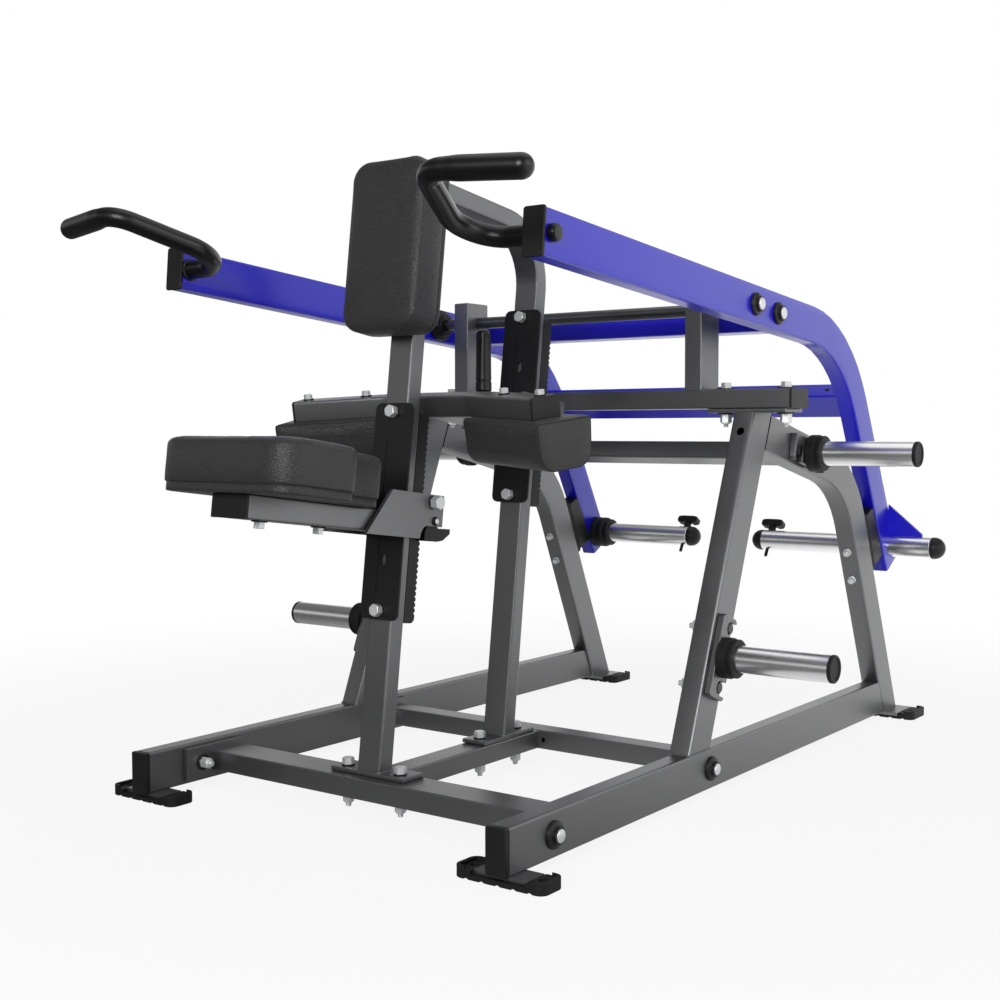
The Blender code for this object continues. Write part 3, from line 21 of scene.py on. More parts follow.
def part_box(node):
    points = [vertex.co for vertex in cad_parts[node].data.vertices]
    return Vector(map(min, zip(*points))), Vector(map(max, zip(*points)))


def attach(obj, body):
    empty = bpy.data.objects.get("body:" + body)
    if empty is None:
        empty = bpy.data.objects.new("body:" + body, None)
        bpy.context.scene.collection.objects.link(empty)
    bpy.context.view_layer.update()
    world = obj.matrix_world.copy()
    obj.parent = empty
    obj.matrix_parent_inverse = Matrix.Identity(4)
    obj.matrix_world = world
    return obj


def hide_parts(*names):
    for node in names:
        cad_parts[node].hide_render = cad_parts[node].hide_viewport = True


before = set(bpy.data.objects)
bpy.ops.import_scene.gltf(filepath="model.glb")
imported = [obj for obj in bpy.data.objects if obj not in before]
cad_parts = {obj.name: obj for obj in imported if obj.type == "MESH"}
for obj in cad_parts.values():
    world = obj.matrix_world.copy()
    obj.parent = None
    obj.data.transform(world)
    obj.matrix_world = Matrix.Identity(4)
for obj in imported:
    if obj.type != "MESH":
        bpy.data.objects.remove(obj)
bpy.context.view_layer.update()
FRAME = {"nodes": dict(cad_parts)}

LOG = logging.getLogger("pushdown_machine")
MM = 0.001
Point2 = tuple[float, float]
Point3 = tuple[float, float, float]
Form = bmesh.types.BMesh
Tree = bpy.types.NodeTree
Node = bpy.types.Node
Socket = bpy.types.NodeSocket

RAIL_FRONT = -775.0
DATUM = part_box("left_rail")[0][1] / MM - RAIL_FRONT
SIDES = ((-1, "left"), (1, "right"))
UP, DOWN = (0, 0, 1), (0, 0, -1)

# Angles of the posts, the legs, the lower cross tube and the thigh bar. A rear leg has one
# above its knee and another below it.
LEAN = math.atan(0.1265)
FRONT_LEG_LEAN = math.atan(0.402)
REAR_LEG_LEAN = math.atan(0.2217)
REAR_LEG_TAIL = math.radians(24.2)
LOWER_CROSS_TILT = math.radians(38.5)
THIGH_SWEEP = math.radians(18.6)
THIGH_PITCH = math.radians(8.5)

# X of the outer faces of the rails and arms, and of the arms' inner faces.
OUTER_FACE = 425.2
ARM_INNER = 386.7

# Storage horns of one side: name, Y and Z, turn about X, and X of the end.
STORAGE = (("front", -117.0, 258.0, -FRONT_LEG_LEAN, 656.0),
           ("rear", 267.0, 630.0, -REAR_LEG_LEAN - math.pi / 2, 664.0))

MACHINE = Matrix.Translation((0, DATUM, 0))
LEVER = MACHINE @ Matrix.Translation((0, 70.0, 917.0))
SEAT_POST = MACHINE @ Matrix.Translation((0, -595.0, 80.0)) @ Matrix.Rotation(-LEAN, 4, "X")
MAST = MACHINE @ Matrix.Translation((0, -226.0, 80.0)) @ Matrix.Rotation(-LEAN, 4, "X")
THIGH_BAR = (MAST @ Matrix.Translation((0, -300.0, 608.5))
             @ Matrix.Rotation(LEAN + THIGH_PITCH, 4, "X"))


class Body(Enum):
    """The bodies that pieces ride on."""

    FRAME = "frame"
    LEVER = "press_lever"
    LEFT_PIN = "left_pin"
    RIGHT_PIN = "right_pin"
    SEAT = "seat"
    THIGH = "thigh_rest"
    THIGH_LATCH = "thigh_latch"


# Finishes.


def linear(code: str) -> tuple[float, float, float, float]:
    """Turn an sRGB hex colour into linear values.

    Args:
        code: The colour as "#rrggbb".

    Returns:
        Linear red, green and blue, with an alpha of one.
    """
    values = [int(code[i:i + 2], 16) / 255 for i in (1, 3, 5)]
    red, green, blue = (v / 12.92 if v <= 0.04045 else ((v + 0.055) / 1.055) ** 2.4
                        for v in values)
    return red, green, blue, 1.0


def add(tree: Tree, kind: str, inputs: dict | None = None, **settings: object) -> Node:
    """Add a node with its settings and links.

    Args:
        tree: The node tree that it joins.
        kind: The node's type name.
        inputs: A value or an output socket for each input, by name or place.
        **settings: The node's own properties.

    Returns:
        The node.
    """
    made = tree.nodes.new(kind)
    for key, value in settings.items():
        setattr(made, key, value)
    for key, value in (inputs or {}).items():
        if isinstance(value, Socket):
            tree.links.new(value, made.inputs[key])
        else:
            made.inputs[key].default_value = value
    return made


def per_metre(size_mm: float) -> float:
    """Texture scale whose features are this many millimetres apart."""
    return 1.0 / (size_mm * MM)


@dataclass(frozen=True)
class Finish:
    """What all finishes share: a name, two colours, and how rough and metallic it is."""

    title: str
    colour: str
    accent: str
    roughness: float
    spread: float = 0.08
    metallic: float = 0.0

    def material(self) -> bpy.types.Material:
        """Make the finish the first time it is asked for.

        Returns:
            The finish as a material.
        """
        made = bpy.data.materials.get(self.title)
        if made is None:
            made = bpy.data.materials.new(self.title)
            made.use_nodes = True
            made.diffuse_color = linear(self.colour)
            tree = made.node_tree
            shader = tree.nodes["Principled BSDF"]
            shader.inputs["Metallic"].default_value = self.metallic
            place = add(tree, "ShaderNodeTexCoord").outputs["Object"]
            self.dress(tree, shader, place)
        return made

    def dress(self, tree: Tree, shader: Node, place: Socket) -> None:
        """Add the pattern of this finish; each kind has its own."""
        raise NotImplementedError

    def tint(self, tree: Tree, shader: Node, factor: Socket) -> None:
        """Blend the two colours by a pattern.

        Args:
            tree: The material's nodes.
            shader: The shader that takes the colour.
            factor: The pattern.
        """
        mix = add(tree, "ShaderNodeMix", {0: factor, 6: linear(self.colour),
                                          7: linear(self.accent)}, data_type="RGBA")
        tree.links.new(mix.outputs[2], shader.inputs["Base Color"])

    def polish(self, tree: Tree, shader: Node, factor: Socket) -> None:
        """Vary the roughness by a pattern, around its middle value.

        Args:
            tree: The material's nodes.
            shader: The shader that takes the roughness.
            factor: The pattern.
        """
        span = add(tree, "ShaderNodeMapRange",
                   {"Value": factor, "To Min": self.roughness - self.spread,
                    "To Max": self.roughness + self.spread})
        tree.links.new(span.outputs[0], shader.inputs["Roughness"])

    def relief(self, tree: Tree, shader: Node,
               height: Socket, depth_mm: float, strength: float,
               edge_mm: float = 0.0) -> None:
        """Raise the surface by a pattern.

        Args:
            tree: The material's nodes.
            shader: The shader that takes the normal.
            height: The pattern.
            depth_mm: How deep it is.
            strength: How much of it shows.
            edge_mm: The radius that catches light along an edge.
        """
        inputs = {"Height": height, "Distance": depth_mm * MM, "Strength": strength}
        if edge_mm:
            worn = add(tree, "ShaderNodeBevel", {"Radius": edge_mm * MM}, samples=4)
            inputs["Normal"] = worn.outputs[0]
        bump = add(tree, "ShaderNodeBump", inputs)
        tree.links.new(bump.outputs[0], shader.inputs["Normal"])


@dataclass(frozen=True)
class PowderCoat(Finish):
    """Polyester powder sprayed on mild steel and baked."""

    gloss: float = 0.0

    def dress(self, tree: Tree, shader: Node, place: Socket) -> None:
        """Orange peel from the flow of the powder, metallic fleck, and soft drifts of tone.

        Args:
            tree: The material's nodes.
            shader: The shader that takes the pattern.
            place: Where on the piece a point is.
        """
        # The peel is about 1.2 mm across; at 2.4 mm it still shows at this distance.
        peel = add(tree, "ShaderNodeTexNoise", {"Vector": place, "Scale": per_metre(2.4),
                                                "Detail": 2.0})
        # Aluminium fleck of 0.1 mm is drawn at 1.5 mm, so that the tone still glitters.
        fleck = add(tree, "ShaderNodeTexVoronoi", {"Vector": place, "Scale": per_metre(1.5)})
        drift = add(tree, "ShaderNodeTexNoise", {"Vector": place, "Scale": per_metre(160.0),
                                                 "Detail": 3.0})
        tone = add(tree, "ShaderNodeMath", {0: fleck.outputs["Distance"], 1: 0.35},
                   operation="MULTIPLY")
        both = add(tree, "ShaderNodeMath", {0: drift.outputs["Fac"], 1: 0.55,
                                            2: tone.outputs[0]}, operation="MULTIPLY_ADD")
        self.tint(tree, shader, both.outputs[0])
        self.polish(tree, shader, drift.outputs["Fac"])
        self.relief(tree, shader, peel.outputs["Fac"], 0.05, 0.25, 0.7)
        shader.inputs["Coat Weight"].default_value = self.gloss
        shader.inputs["Coat Roughness"].default_value = 0.12


@dataclass(frozen=True)
class MouldedPlastic(Finish):
    """Nylon or PVC pressed in a spark-eroded mould, with the mould's fine stipple."""

    stipple_mm: float = 1.2
    depth_mm: float = 0.05
    gloss: float = 0.0

    def dress(self, tree: Tree, shader: Node, place: Socket) -> None:
        """Stipple, scuffed tone and handling marks.

        Args:
            tree: The material's nodes.
            shader: The shader that takes the pattern.
            place: Where on the piece a point is.
        """
        stipple = add(tree, "ShaderNodeTexNoise",
                      {"Vector": place, "Scale": per_metre(self.stipple_mm), "Detail": 2.0})
        marks = add(tree, "ShaderNodeTexNoise",
                    {"Vector": place, "Scale": per_metre(38.0), "Detail": 4.0})
        self.tint(tree, shader, marks.outputs["Fac"])
        self.polish(tree, shader, marks.outputs["Fac"])
        self.relief(tree, shader, stipple.outputs["Fac"], self.depth_mm, 0.4, 0.5)
        shader.inputs["Specular IOR Level"].default_value = 0.3
        shader.inputs["Coat Weight"].default_value = self.gloss
        shader.inputs["Coat Roughness"].default_value = 0.1


@dataclass(frozen=True)
class EmbossedVinyl(Finish):
    """PVC-faced upholstery cloth, embossed with a leather grain."""

    grain_mm: float = 5.2

    def dress(self, tree: Tree, shader: Node, place: Socket) -> None:
        """Pebbles parted by creases, with painted shade in the creases: they take the darker
        colour and the pebble tops the lighter one.

        Args:
            tree: The material's nodes.
            shader: The shader that takes the pattern.
            place: Where on the piece a point is.
        """
        # The emboss has pebbles of about 1.5 mm, drawn at three times that so that they show.
        wander = add(tree, "ShaderNodeTexNoise", {"Vector": place, "Scale": per_metre(9.0),
                                                  "Detail": 2.0})
        bent = add(tree, "ShaderNodeMix", {0: 0.004, 4: place, 5: wander.outputs["Color"]},
                   data_type="VECTOR")
        pebble = add(tree, "ShaderNodeTexVoronoi",
                     {"Vector": bent.outputs[1], "Scale": per_metre(self.grain_mm)},
                     feature="DISTANCE_TO_EDGE")
        crease = add(tree, "ShaderNodeMapRange",
                     {"Value": pebble.outputs["Distance"], "From Max": 0.28},
                     interpolation_type="SMOOTHSTEP")
        pore = add(tree, "ShaderNodeTexNoise", {"Vector": place, "Scale": per_metre(1.1),
                                                "Detail": 3.0})
        worn = add(tree, "ShaderNodeTexNoise", {"Vector": place, "Scale": per_metre(55.0),
                                                "Detail": 3.0})
        # Painted shade: the creases take the darker colour and the pebble tops the lighter one,
        # varied by a slow random tone.
        shade = add(tree, "ShaderNodeMath", {0: crease.outputs[0], 1: worn.outputs["Fac"]},
                    operation="MULTIPLY")
        self.tint(tree, shader, shade.outputs[0])
        self.polish(tree, shader, worn.outputs["Fac"])
        swell = add(tree, "ShaderNodeMath", {0: wander.outputs["Fac"], 1: 1.2,
                                             2: crease.outputs[0]}, operation="MULTIPLY_ADD")
        height = add(tree, "ShaderNodeMath", {0: pore.outputs["Fac"], 1: 0.25,
                                              2: swell.outputs[0]}, operation="MULTIPLY_ADD")
        self.relief(tree, shader, height.outputs[0], 0.5, 0.62)
        shader.inputs["Specular IOR Level"].default_value = 0.33
        shader.inputs["Sheen Weight"].default_value = 0.05
        shader.inputs["Sheen Roughness"].default_value = 0.5


@dataclass(frozen=True)
class TurnedMetal(Finish):
    """Steel turned or drawn along X and then plated or left bright."""

    ring_mm: float = 1.1
    anisotropy: float = 0.5

    def dress(self, tree: Tree, shader: Node, place: Socket) -> None:
        """Rings round the axis, from the lathe and from plates sliding on and off.

        Args:
            tree: The material's nodes.
            shader: The shader that takes the pattern.
            place: Where on the piece a point is.
        """
        # Turning marks of 0.3 mm are drawn at about 1.1 mm, stretched round the bar.
        rings = add(tree, "ShaderNodeMapping",
                    {"Vector": place, "Scale": (per_metre(self.ring_mm), 6.0, 6.0)})
        marks = add(tree, "ShaderNodeTexNoise", {"Vector": rings.outputs[0], "Scale": 1.0,
                                                 "Detail": 3.0})
        bands = add(tree, "ShaderNodeMapping",
                    {"Vector": place, "Scale": (per_metre(17.0), 3.0, 3.0)})
        slid = add(tree, "ShaderNodeTexNoise", {"Vector": bands.outputs[0], "Scale": 1.0,
                                                "Detail": 4.0})
        self.tint(tree, shader, slid.outputs["Fac"])
        self.polish(tree, shader, marks.outputs["Fac"])
        self.relief(tree, shader, marks.outputs["Fac"], 0.012, 0.1)
        turn = add(tree, "ShaderNodeTangent", direction_type="RADIAL", axis="X")
        tree.links.new(turn.outputs[0], shader.inputs["Tangent"])
        shader.inputs["Anisotropic"].default_value = self.anisotropy


@dataclass(frozen=True)
class PlatedMetal(Finish):
    """Steel fastener plated with zinc in a barrel."""

    def dress(self, tree: Tree, shader: Node, place: Socket) -> None:
        """Cloudy plating with the knocks of the barrel.

        Args:
            tree: The material's nodes.
            shader: The shader that takes the pattern.
            place: Where on the piece a point is.
        """
        cloud = add(tree, "ShaderNodeTexNoise", {"Vector": place, "Scale": per_metre(6.0),
                                                 "Detail": 4.0})
        self.tint(tree, shader, cloud.outputs["Fac"])
        self.polish(tree, shader, cloud.outputs["Fac"])
        self.relief(tree, shader, cloud.outputs["Fac"], 0.05, 0.2)


# Grey satin coat: light where it faces the lamps, nearly black where it turns away.
GREY_COAT = PowderCoat("grey_powder_coated_steel", "#6b6b6c", "#797a7b", 0.38, 0.05, 0.88)
# Blue gloss coat: a clear top film gives the sharp highlight along its corners.
BLUE_COAT = PowderCoat("blue_powder_coated_steel", "#1611d3", "#1c17dc", 0.36, 0.05, 0.0, 0.3)
# Moulded nylon: dull black with a faint sheen.
NYLON = MouldedPlastic("black_moulded_nylon", "#101011", "#19191a", 0.46)
# Moulded rubber: the dullest black, greyer where it is scuffed.
RUBBER = MouldedPlastic("black_moulded_rubber", "#0d0d0e", "#161617", 0.62, 0.08, 0.0, 1.6, 0.08)
# Stippled rubber of the bullnoses: coarse grains that glint.
STIPPLED = MouldedPlastic("black_stippled_rubber", "#0e0e0f", "#1c1c1d", 0.42, 0.1, 0.0, 2.4, 0.7)
# Dipped PVC: smooth black on the handles, with a soft shine.
DIPPED = MouldedPlastic("gloss_black_dipped_pvc", "#080809", "#0e0e0f", 0.36, 0.05, 0.0, 9.0,
                        0.04, 0.15)
# Upholstery vinyl: black with a dull shine broken by its grain; its darker colour is painted shade
# in the grain's creases, and its lighter one sits on the pebble tops.
VINYL = EmbossedVinyl("black_leather_grain_vinyl", "#2b2b2c", "#353536", 0.42, 0.04)
# Thread of the seams: bonded polyester, a shade lighter than the vinyl.
THREAD = MouldedPlastic("black_bonded_thread", "#161617", "#212122", 0.6, 0.08, 0.0, 0.9, 0.1)
# Hard chrome on turned tube: mirror-like with fine rings.
CHROME = TurnedMetal("chromed_turned_steel", "#ebebed", "#f6f6f7", 0.24, 0.05, 1.0)
# Ground shaft: duller and greyer than chrome.
GROUND = TurnedMetal("ground_steel_shaft", "#6d6e71", "#7d7e81", 0.34, 0.06, 1.0, 0.8, 0.4)
# Zinc plate: pale and slightly cloudy.
ZINC = PlatedMetal("zinc_plated_steel", "#d4d5d6", "#e8e9ea", 0.42, 0.08, 0.6)
# Blackened screws: oily black, clouded with grey.
BLACKENED = PlatedMetal("black_oxide_steel", "#3c3c3e", "#4c4c4e", 0.36, 0.08, 1.0)


# Shapes.


def arc(middle: Vector, start: Vector, end: Vector, steps: int) -> list[Vector]:
    """Turn one spoke about a middle until it meets another.

    Args:
        middle: The middle.
        start: The first spoke.
        end: The last spoke.
        steps: Straight pieces of the arc.

    Returns:
        The points of the arc.
    """
    sweep = start.angle(end)
    return [middle + (start * math.sin((1 - k / steps) * sweep)
                      + end * math.sin(k / steps * sweep)) / math.sin(sweep)
            for k in range(steps + 1)]


def rounded(corners: Sequence[Point3], closed: bool = True, steps: int = 6) -> list[Point2]:
    """Turn the corners of a flat line into arcs.

    Args:
        corners: Each corner's two coordinates and its radius.
        closed: Whether the line comes back to its start.
        steps: Straight pieces in each arc.

    Returns:
        The points of the line.
    """
    points: list[Point2] = []
    count = len(corners)
    for i, (x, y, radius) in enumerate(corners):
        here = Vector((x, y))
        back = Vector(corners[i - 1][:2]) - here
        ahead = Vector(corners[(i + 1) % count][:2]) - here
        ends = not closed and i in (0, count - 1)
        if radius <= 0 or ends or abs(back.angle(ahead) - math.pi) < 1e-3:
            points.append((x, y))
            continue
        half = back.angle(ahead) / 2
        cut = min(radius / math.tan(half), 0.49 * back.length, 0.49 * ahead.length)
        back.normalize()
        ahead.normalize()
        middle = here + (back + ahead).normalized() * (cut / math.cos(half))
        points += [(spot.x, spot.y) for spot in arc(
            middle, here + back * cut - middle, here + ahead * cut - middle, steps)]
    return points


def rectangle(u0: float, u1: float, v0: float, v1: float, radius: float,
              steps: int = 6) -> list[Point2]:
    """A rectangle with rounded corners, anticlockwise."""
    return rounded([(u0, v0, radius), (u1, v0, radius), (u1, v1, radius), (u0, v1, radius)],
                   True, steps)


def bent(points: Sequence[Vector], radii: Sequence[float], step_deg: float = 5.0) -> list[Vector]:
    """Fillet the inner points of a path in space.

    Args:
        points: The path's corners.
        radii: A bend radius for each inner corner.
        step_deg: Turn between points of a bend.

    Returns:
        The path with its bends as points.
    """
    path = [points[0]]
    for corner, before, after, radius in zip(points[1:-1], points, points[2:], radii):
        back = (before - corner).normalized()
        ahead = (after - corner).normalized()
        half = back.angle(ahead) / 2
        cut = radius / math.tan(half)
        middle = corner + (back + ahead).normalized() * (radius / math.sin(half))
        start, end = corner + back * cut - middle, corner + ahead * cut - middle
        steps = max(2, math.ceil(math.degrees(start.angle(end)) / step_deg))
        path += arc(middle, start, end, steps)
    path.append(points[-1])
    return path


def aimed(at: Iterable[float], out: Iterable[float]) -> Matrix:
    """A frame at a point whose Z axis runs along a direction."""
    turn = Vector(out).to_track_quat("Z", "Y").to_matrix().to_4x4()
    return Matrix.Translation(Vector(at)) @ turn


def sideways(side: int, x: float = 0.0, y: float = 0.0, z: float = 0.0) -> Matrix:
    """A frame at a point, with its X to the rear, its Y up and its Z out to one side."""
    return Matrix(((0, 0, side, x), (1, 0, 0, y), (0, 1, 0, z), (0, 0, 0, 1)))


def placed(shape: Form, frame: Matrix) -> Form:
    """Move a shape into a frame."""
    shape.transform(frame)
    return shape


def skin(bm: Form, rings: Sequence[list[bmesh.types.BMVert]]) -> None:
    """Join rings of the same length with faces.

    Args:
        bm: The shape that they are in.
        rings: The rings, in order.
    """
    for low, high in zip(rings, rings[1:]):
        for i in range(len(low)):
            j = (i + 1) % len(low)
            bm.faces.new((low[i], low[j], high[j], high[i]))


def lathe(profile: Sequence[Point2], steps: int = 72) -> Form:
    """Turn a profile about Z.

    Args:
        profile: Radius and height of each point; one that starts and ends on the axis is
            solid, and any other comes back to its start as a ring.
        steps: Sides of the circle.

    Returns:
        The turned shape.
    """
    bm = bmesh.new()
    rings = []
    for radius, height in profile:
        if radius < 1e-6:
            rings.append([bm.verts.new((0, 0, height))])
        else:
            rings.append([bm.verts.new((radius * math.cos(math.tau * i / steps),
                                        radius * math.sin(math.tau * i / steps), height))
                          for i in range(steps)])
    pairs = list(zip(rings, rings[1:]))
    if len(rings[0]) > 1 and len(rings[-1]) > 1:
        pairs.append((rings[-1], rings[0]))
    for low, high in pairs:
        for i in range(steps):
            j = (i + 1) % steps
            corners = [low[i % len(low)], low[j % len(low)], high[j % len(high)],
                       high[i % len(high)]]
            bm.faces.new(list(dict.fromkeys(corners)))
    return bm


def dome(radius: float, rise: float, top: float) -> list[Point2]:
    """Profile of a round end, from its tip to where it is widest."""
    return [(radius * math.sin(math.radians(a)), top - rise + rise * math.cos(math.radians(a)))
            for a in range(0, 91, 9)]


def turned(profile: Sequence[Point2], steps: int, at: Iterable[float],
           out: Iterable[float]) -> Form:
    """A profile turned about the axis that leaves a point in a direction."""
    return placed(lathe(profile, steps), aimed(at, out))


def plate(outline: Sequence[Point2], thick: float, edge: float = 1.0, steps: int = 3) -> Form:
    """A plate from Z = 0 up, with its long edges rounded over.

    Args:
        outline: The plate's outline.
        thick: Its thickness.
        edge: Radius of the edges.
        steps: Straight pieces in each edge.

    Returns:
        The plate.
    """
    bm = bmesh.new()
    low = bm.faces.new([bm.verts.new((x, y, 0)) for x, y in outline])
    top = bmesh.ops.extrude_face_region(bm, geom=[low])["geom"]
    bmesh.ops.translate(bm, vec=(0, 0, thick),
                        verts=[v for v in top if isinstance(v, bmesh.types.BMVert)])
    if edge:
        rims = [e for e in bm.edges if abs(e.verts[0].co.z - e.verts[1].co.z) < 1e-6]
        bmesh.ops.bevel(bm, geom=rims, offset=edge, segments=steps, profile=0.5,
                        affect="EDGES", clamp_overlap=True)
    return bm


def tablet(wide: float, high: float, corner: float, thick: float, edge: float, steps: int = 3,
           level: float = 0.0) -> Form:
    """A plate with rounded corners, centred on Z, which starts at a level."""
    outline = rectangle(-wide / 2, wide / 2, -high / 2, high / 2, corner)
    return placed(plate(outline, thick, edge, steps), Matrix.Translation((0, 0, level)))


def block(low: Point3, high: Point3, corner: float, edge: float = 1.0) -> Form:
    """A block with rounded corners between two opposite corners."""
    bm = plate(rectangle(low[0], high[0], low[1], high[1], corner), high[2] - low[2], edge)
    return placed(bm, Matrix.Translation((0, 0, low[2])))


def sweep(path: Sequence[Vector], radius: float, sides: int = 40, bead: float = 0.0,
          pitch: float = 3.0, loop: bool = False) -> Form:
    """A round bar along a path.

    Args:
        path: Points of its middle line.
        radius: Its radius.
        sides: Sides of its section.
        bead: Share by which the radius swells and shrinks, as in a weld or a seam.
        pitch: Length of each swell.
        loop: Whether the path comes back to its start.

    Returns:
        The bar.
    """
    bm = bmesh.new()
    count = len(path)
    across = None
    travelled = 0.0
    rings = []
    for i, point in enumerate(path):
        ahead = path[(i + 1) % count] if loop or i < count - 1 else point
        back = path[i - 1] if loop or i else point
        along = (ahead - back).normalized()
        if across is None:
            across = along.orthogonal().normalized()
        across = (across - along * across.dot(along)).normalized()
        other = along.cross(across)
        travelled += (point - path[i - 1]).length if i else 0.0
        swell = radius * (1 + bead * math.sin(math.tau * travelled / pitch))
        rings.append([bm.verts.new(point + (across * math.cos(math.tau * k / sides)
                                            + other * math.sin(math.tau * k / sides)) * swell)
                      for k in range(sides)])
    pairs = list(zip(rings, rings[1:])) + ([(rings[-1], rings[0])] if loop else [])
    for low, high in pairs:
        # A loop's last ring may have turned about the path, so the nearest corners are joined.
        shift = min(range(sides), key=lambda k: (high[k].co - low[0].co).length)
        for k in range(sides):
            j = (k + 1) % sides
            bm.faces.new((low[k], low[j], high[(j + shift) % sides], high[(k + shift) % sides]))
    if not loop:
        bm.faces.new(rings[0][::-1])
        bm.faces.new(rings[-1])
    return bm


def dotted(corners: Sequence[Point3], gap: float) -> list[Vector]:
    """Evenly spaced points round a loop of straight runs.

    Args:
        corners: Where the runs meet.
        gap: About how far apart the points are.

    Returns:
        The points.
    """
    spots = [Vector(c) for c in corners]
    path = []
    for a, b in zip(spots, spots[1:] + spots[:1]):
        steps = max(1, round((b - a).length / gap))
        path += [a.lerp(b, i / steps) for i in range(steps)]
    return path


def hexagon(flats: float, height: float, steps: int = 8) -> Form:
    """A hexagon whose corners are turned off at thirty degrees.

    Args:
        flats: Distance across the flats.
        height: Its height.
        steps: Pieces on each side.

    Returns:
        The head or nut, from Z = 0 up.
    """
    bm = bmesh.new()
    flat, rim = flats / 2, flats * 0.47
    rings: list[list[bmesh.types.BMVert]] = [[], [], []]
    count = 6 * steps
    for i in range(count):
        angle = math.tau * i / count
        folded = (angle + math.pi / 6) % (math.pi / 3) - math.pi / 6
        radius = flat / math.cos(folded)
        drop = (radius - rim) * math.tan(math.radians(30))
        for ring, size, level in zip(rings, (radius, radius, rim),
                                     (0.0, height - drop, height)):
            ring.append(bm.verts.new((size * math.cos(angle), size * math.sin(angle), level)))
    skin(bm, rings)
    bm.faces.new(rings[0][::-1])
    bm.faces.new(rings[-1])
    return bm


def merged(shapes: Iterable[Form]) -> Form:
    """Join several shapes.

    Args:
        shapes: The shapes; they are used up.

    Returns:
        All of them as one shape.
    """
    whole = bmesh.new()
    for shape in shapes:
        scratch = bpy.data.meshes.new("scratch")
        shape.to_mesh(scratch)
        shape.free()
        whole.from_mesh(scratch)
        bpy.data.meshes.remove(scratch)
    return whole


def even_faces(piece: bpy.types.Object) -> None:
    """Shade wide faces flat beside the narrow ones of a rounded edge.

    Args:
        piece: The piece to shade.
    """
    weights = piece.modifiers.new("even_faces", "WEIGHTED_NORMAL")
    weights.keep_sharp = True
    weights.weight = 75


def carved(shape: Form, tools: Iterable[Form]) -> Form:
    """Cut several shapes out of one.

    Args:
        shape: What is cut; it is used up.
        tools: What is taken away.

    Returns:
        What is left.
    """
    pair = []
    for part in (shape, merged(tools)):
        bmesh.ops.recalc_face_normals(part, faces=part.faces)
        mesh = bpy.data.meshes.new("carving")
        part.to_mesh(mesh)
        part.free()
        holder = bpy.data.objects.new("carving", mesh)
        bpy.context.scene.collection.objects.link(holder)
        pair.append(holder)
    cut = pair[0].modifiers.new("cut", "BOOLEAN")
    cut.object, cut.operation, cut.solver, cut.use_self = pair[1], "DIFFERENCE", "EXACT", True
    settled = pair[0].evaluated_get(bpy.context.evaluated_depsgraph_get())
    left = bmesh.new()
    left.from_mesh(settled.to_mesh())
    settled.to_mesh_clear()
    for holder in pair:
        bpy.data.meshes.remove(holder.data)
    bmesh.ops.dissolve_degenerate(left, edges=left.edges, dist=0.001)
    return left


def make_piece(name: str, shape: Form, frame: Matrix, finish: Finish, body: Body,
               replaces: Sequence[str] = (), crease: float = 33.0,
               edge: float = 0.0, soft: bool = False) -> bpy.types.Object:
    """Turn a shape into a piece of the machine.

    Args:
        name: The piece's name.
        shape: Its shape in millimetres.
        frame: The frame that the shape is drawn in.
        finish: Its finish.
        body: The body that it rides on.
        replaces: CAD nodes that it stands for.
        crease: Angle from which an edge stays sharp.
        edge: Radius given to the edges that are still sharp, in millimetres.
        soft: Whether it is upholstery, whose faces are rounded all over.

    Returns:
        The piece.
    """
    shape.transform(Matrix.Scale(MM, 4) @ frame)
    bmesh.ops.recalc_face_normals(shape, faces=shape.faces)
    mesh = bpy.data.meshes.new(name)
    shape.to_mesh(mesh)
    shape.free()
    mesh.shade_smooth()
    mesh.set_sharp_from_angle(angle=math.radians(crease))
    mesh.materials.append(finish.material())
    piece = bpy.data.objects.new(name, mesh)
    bpy.context.scene.collection.objects.link(piece)
    if edge:
        round_off = piece.modifiers.new("round_off", "BEVEL")
        round_off.width = edge * MM
        round_off.segments = 3
        round_off.angle_limit = math.radians(45)
    if not soft:
        even_faces(piece)
    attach(piece, body.value)
    if replaces:
        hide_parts(*replaces)
    LOG.info("%s: %d faces on %s", name, len(mesh.polygons), body.value)
    return piece


# Frame parts.


def soft_corners() -> Tree:
    """Make the nodes that shade rolled tube corners smooth and leave cut edges crisp.

    Returns:
        The group of nodes.
    """
    tree = bpy.data.node_groups.new("soft_corners", "GeometryNodeTree")
    tree.interface.new_socket("Geometry", in_out="INPUT", socket_type="NodeSocketGeometry")
    tree.interface.new_socket("Geometry", in_out="OUTPUT", socket_type="NodeSocketGeometry")
    start = add(tree, "NodeGroupInput")
    welded = add(tree, "GeometryNodeMergeByDistance",
                 {"Geometry": start.outputs[0], "Distance": 0.00002})
    angle = add(tree, "GeometryNodeInputMeshEdgeAngle")
    crisp = add(tree, "FunctionNodeCompare", {0: angle.outputs[0], 1: math.radians(33)},
                data_type="FLOAT", operation="GREATER_THAN")
    shaded = add(tree, "GeometryNodeSetMeshNormal",
                 {"Mesh": welded.outputs[0], "Remove Custom": True,
                  "Edge Sharpness": crisp.outputs[0], "Face Sharpness": False},
                 mode="SHARPNESS")
    add(tree, "NodeGroupOutput", {0: shaded.outputs[0]})
    return tree


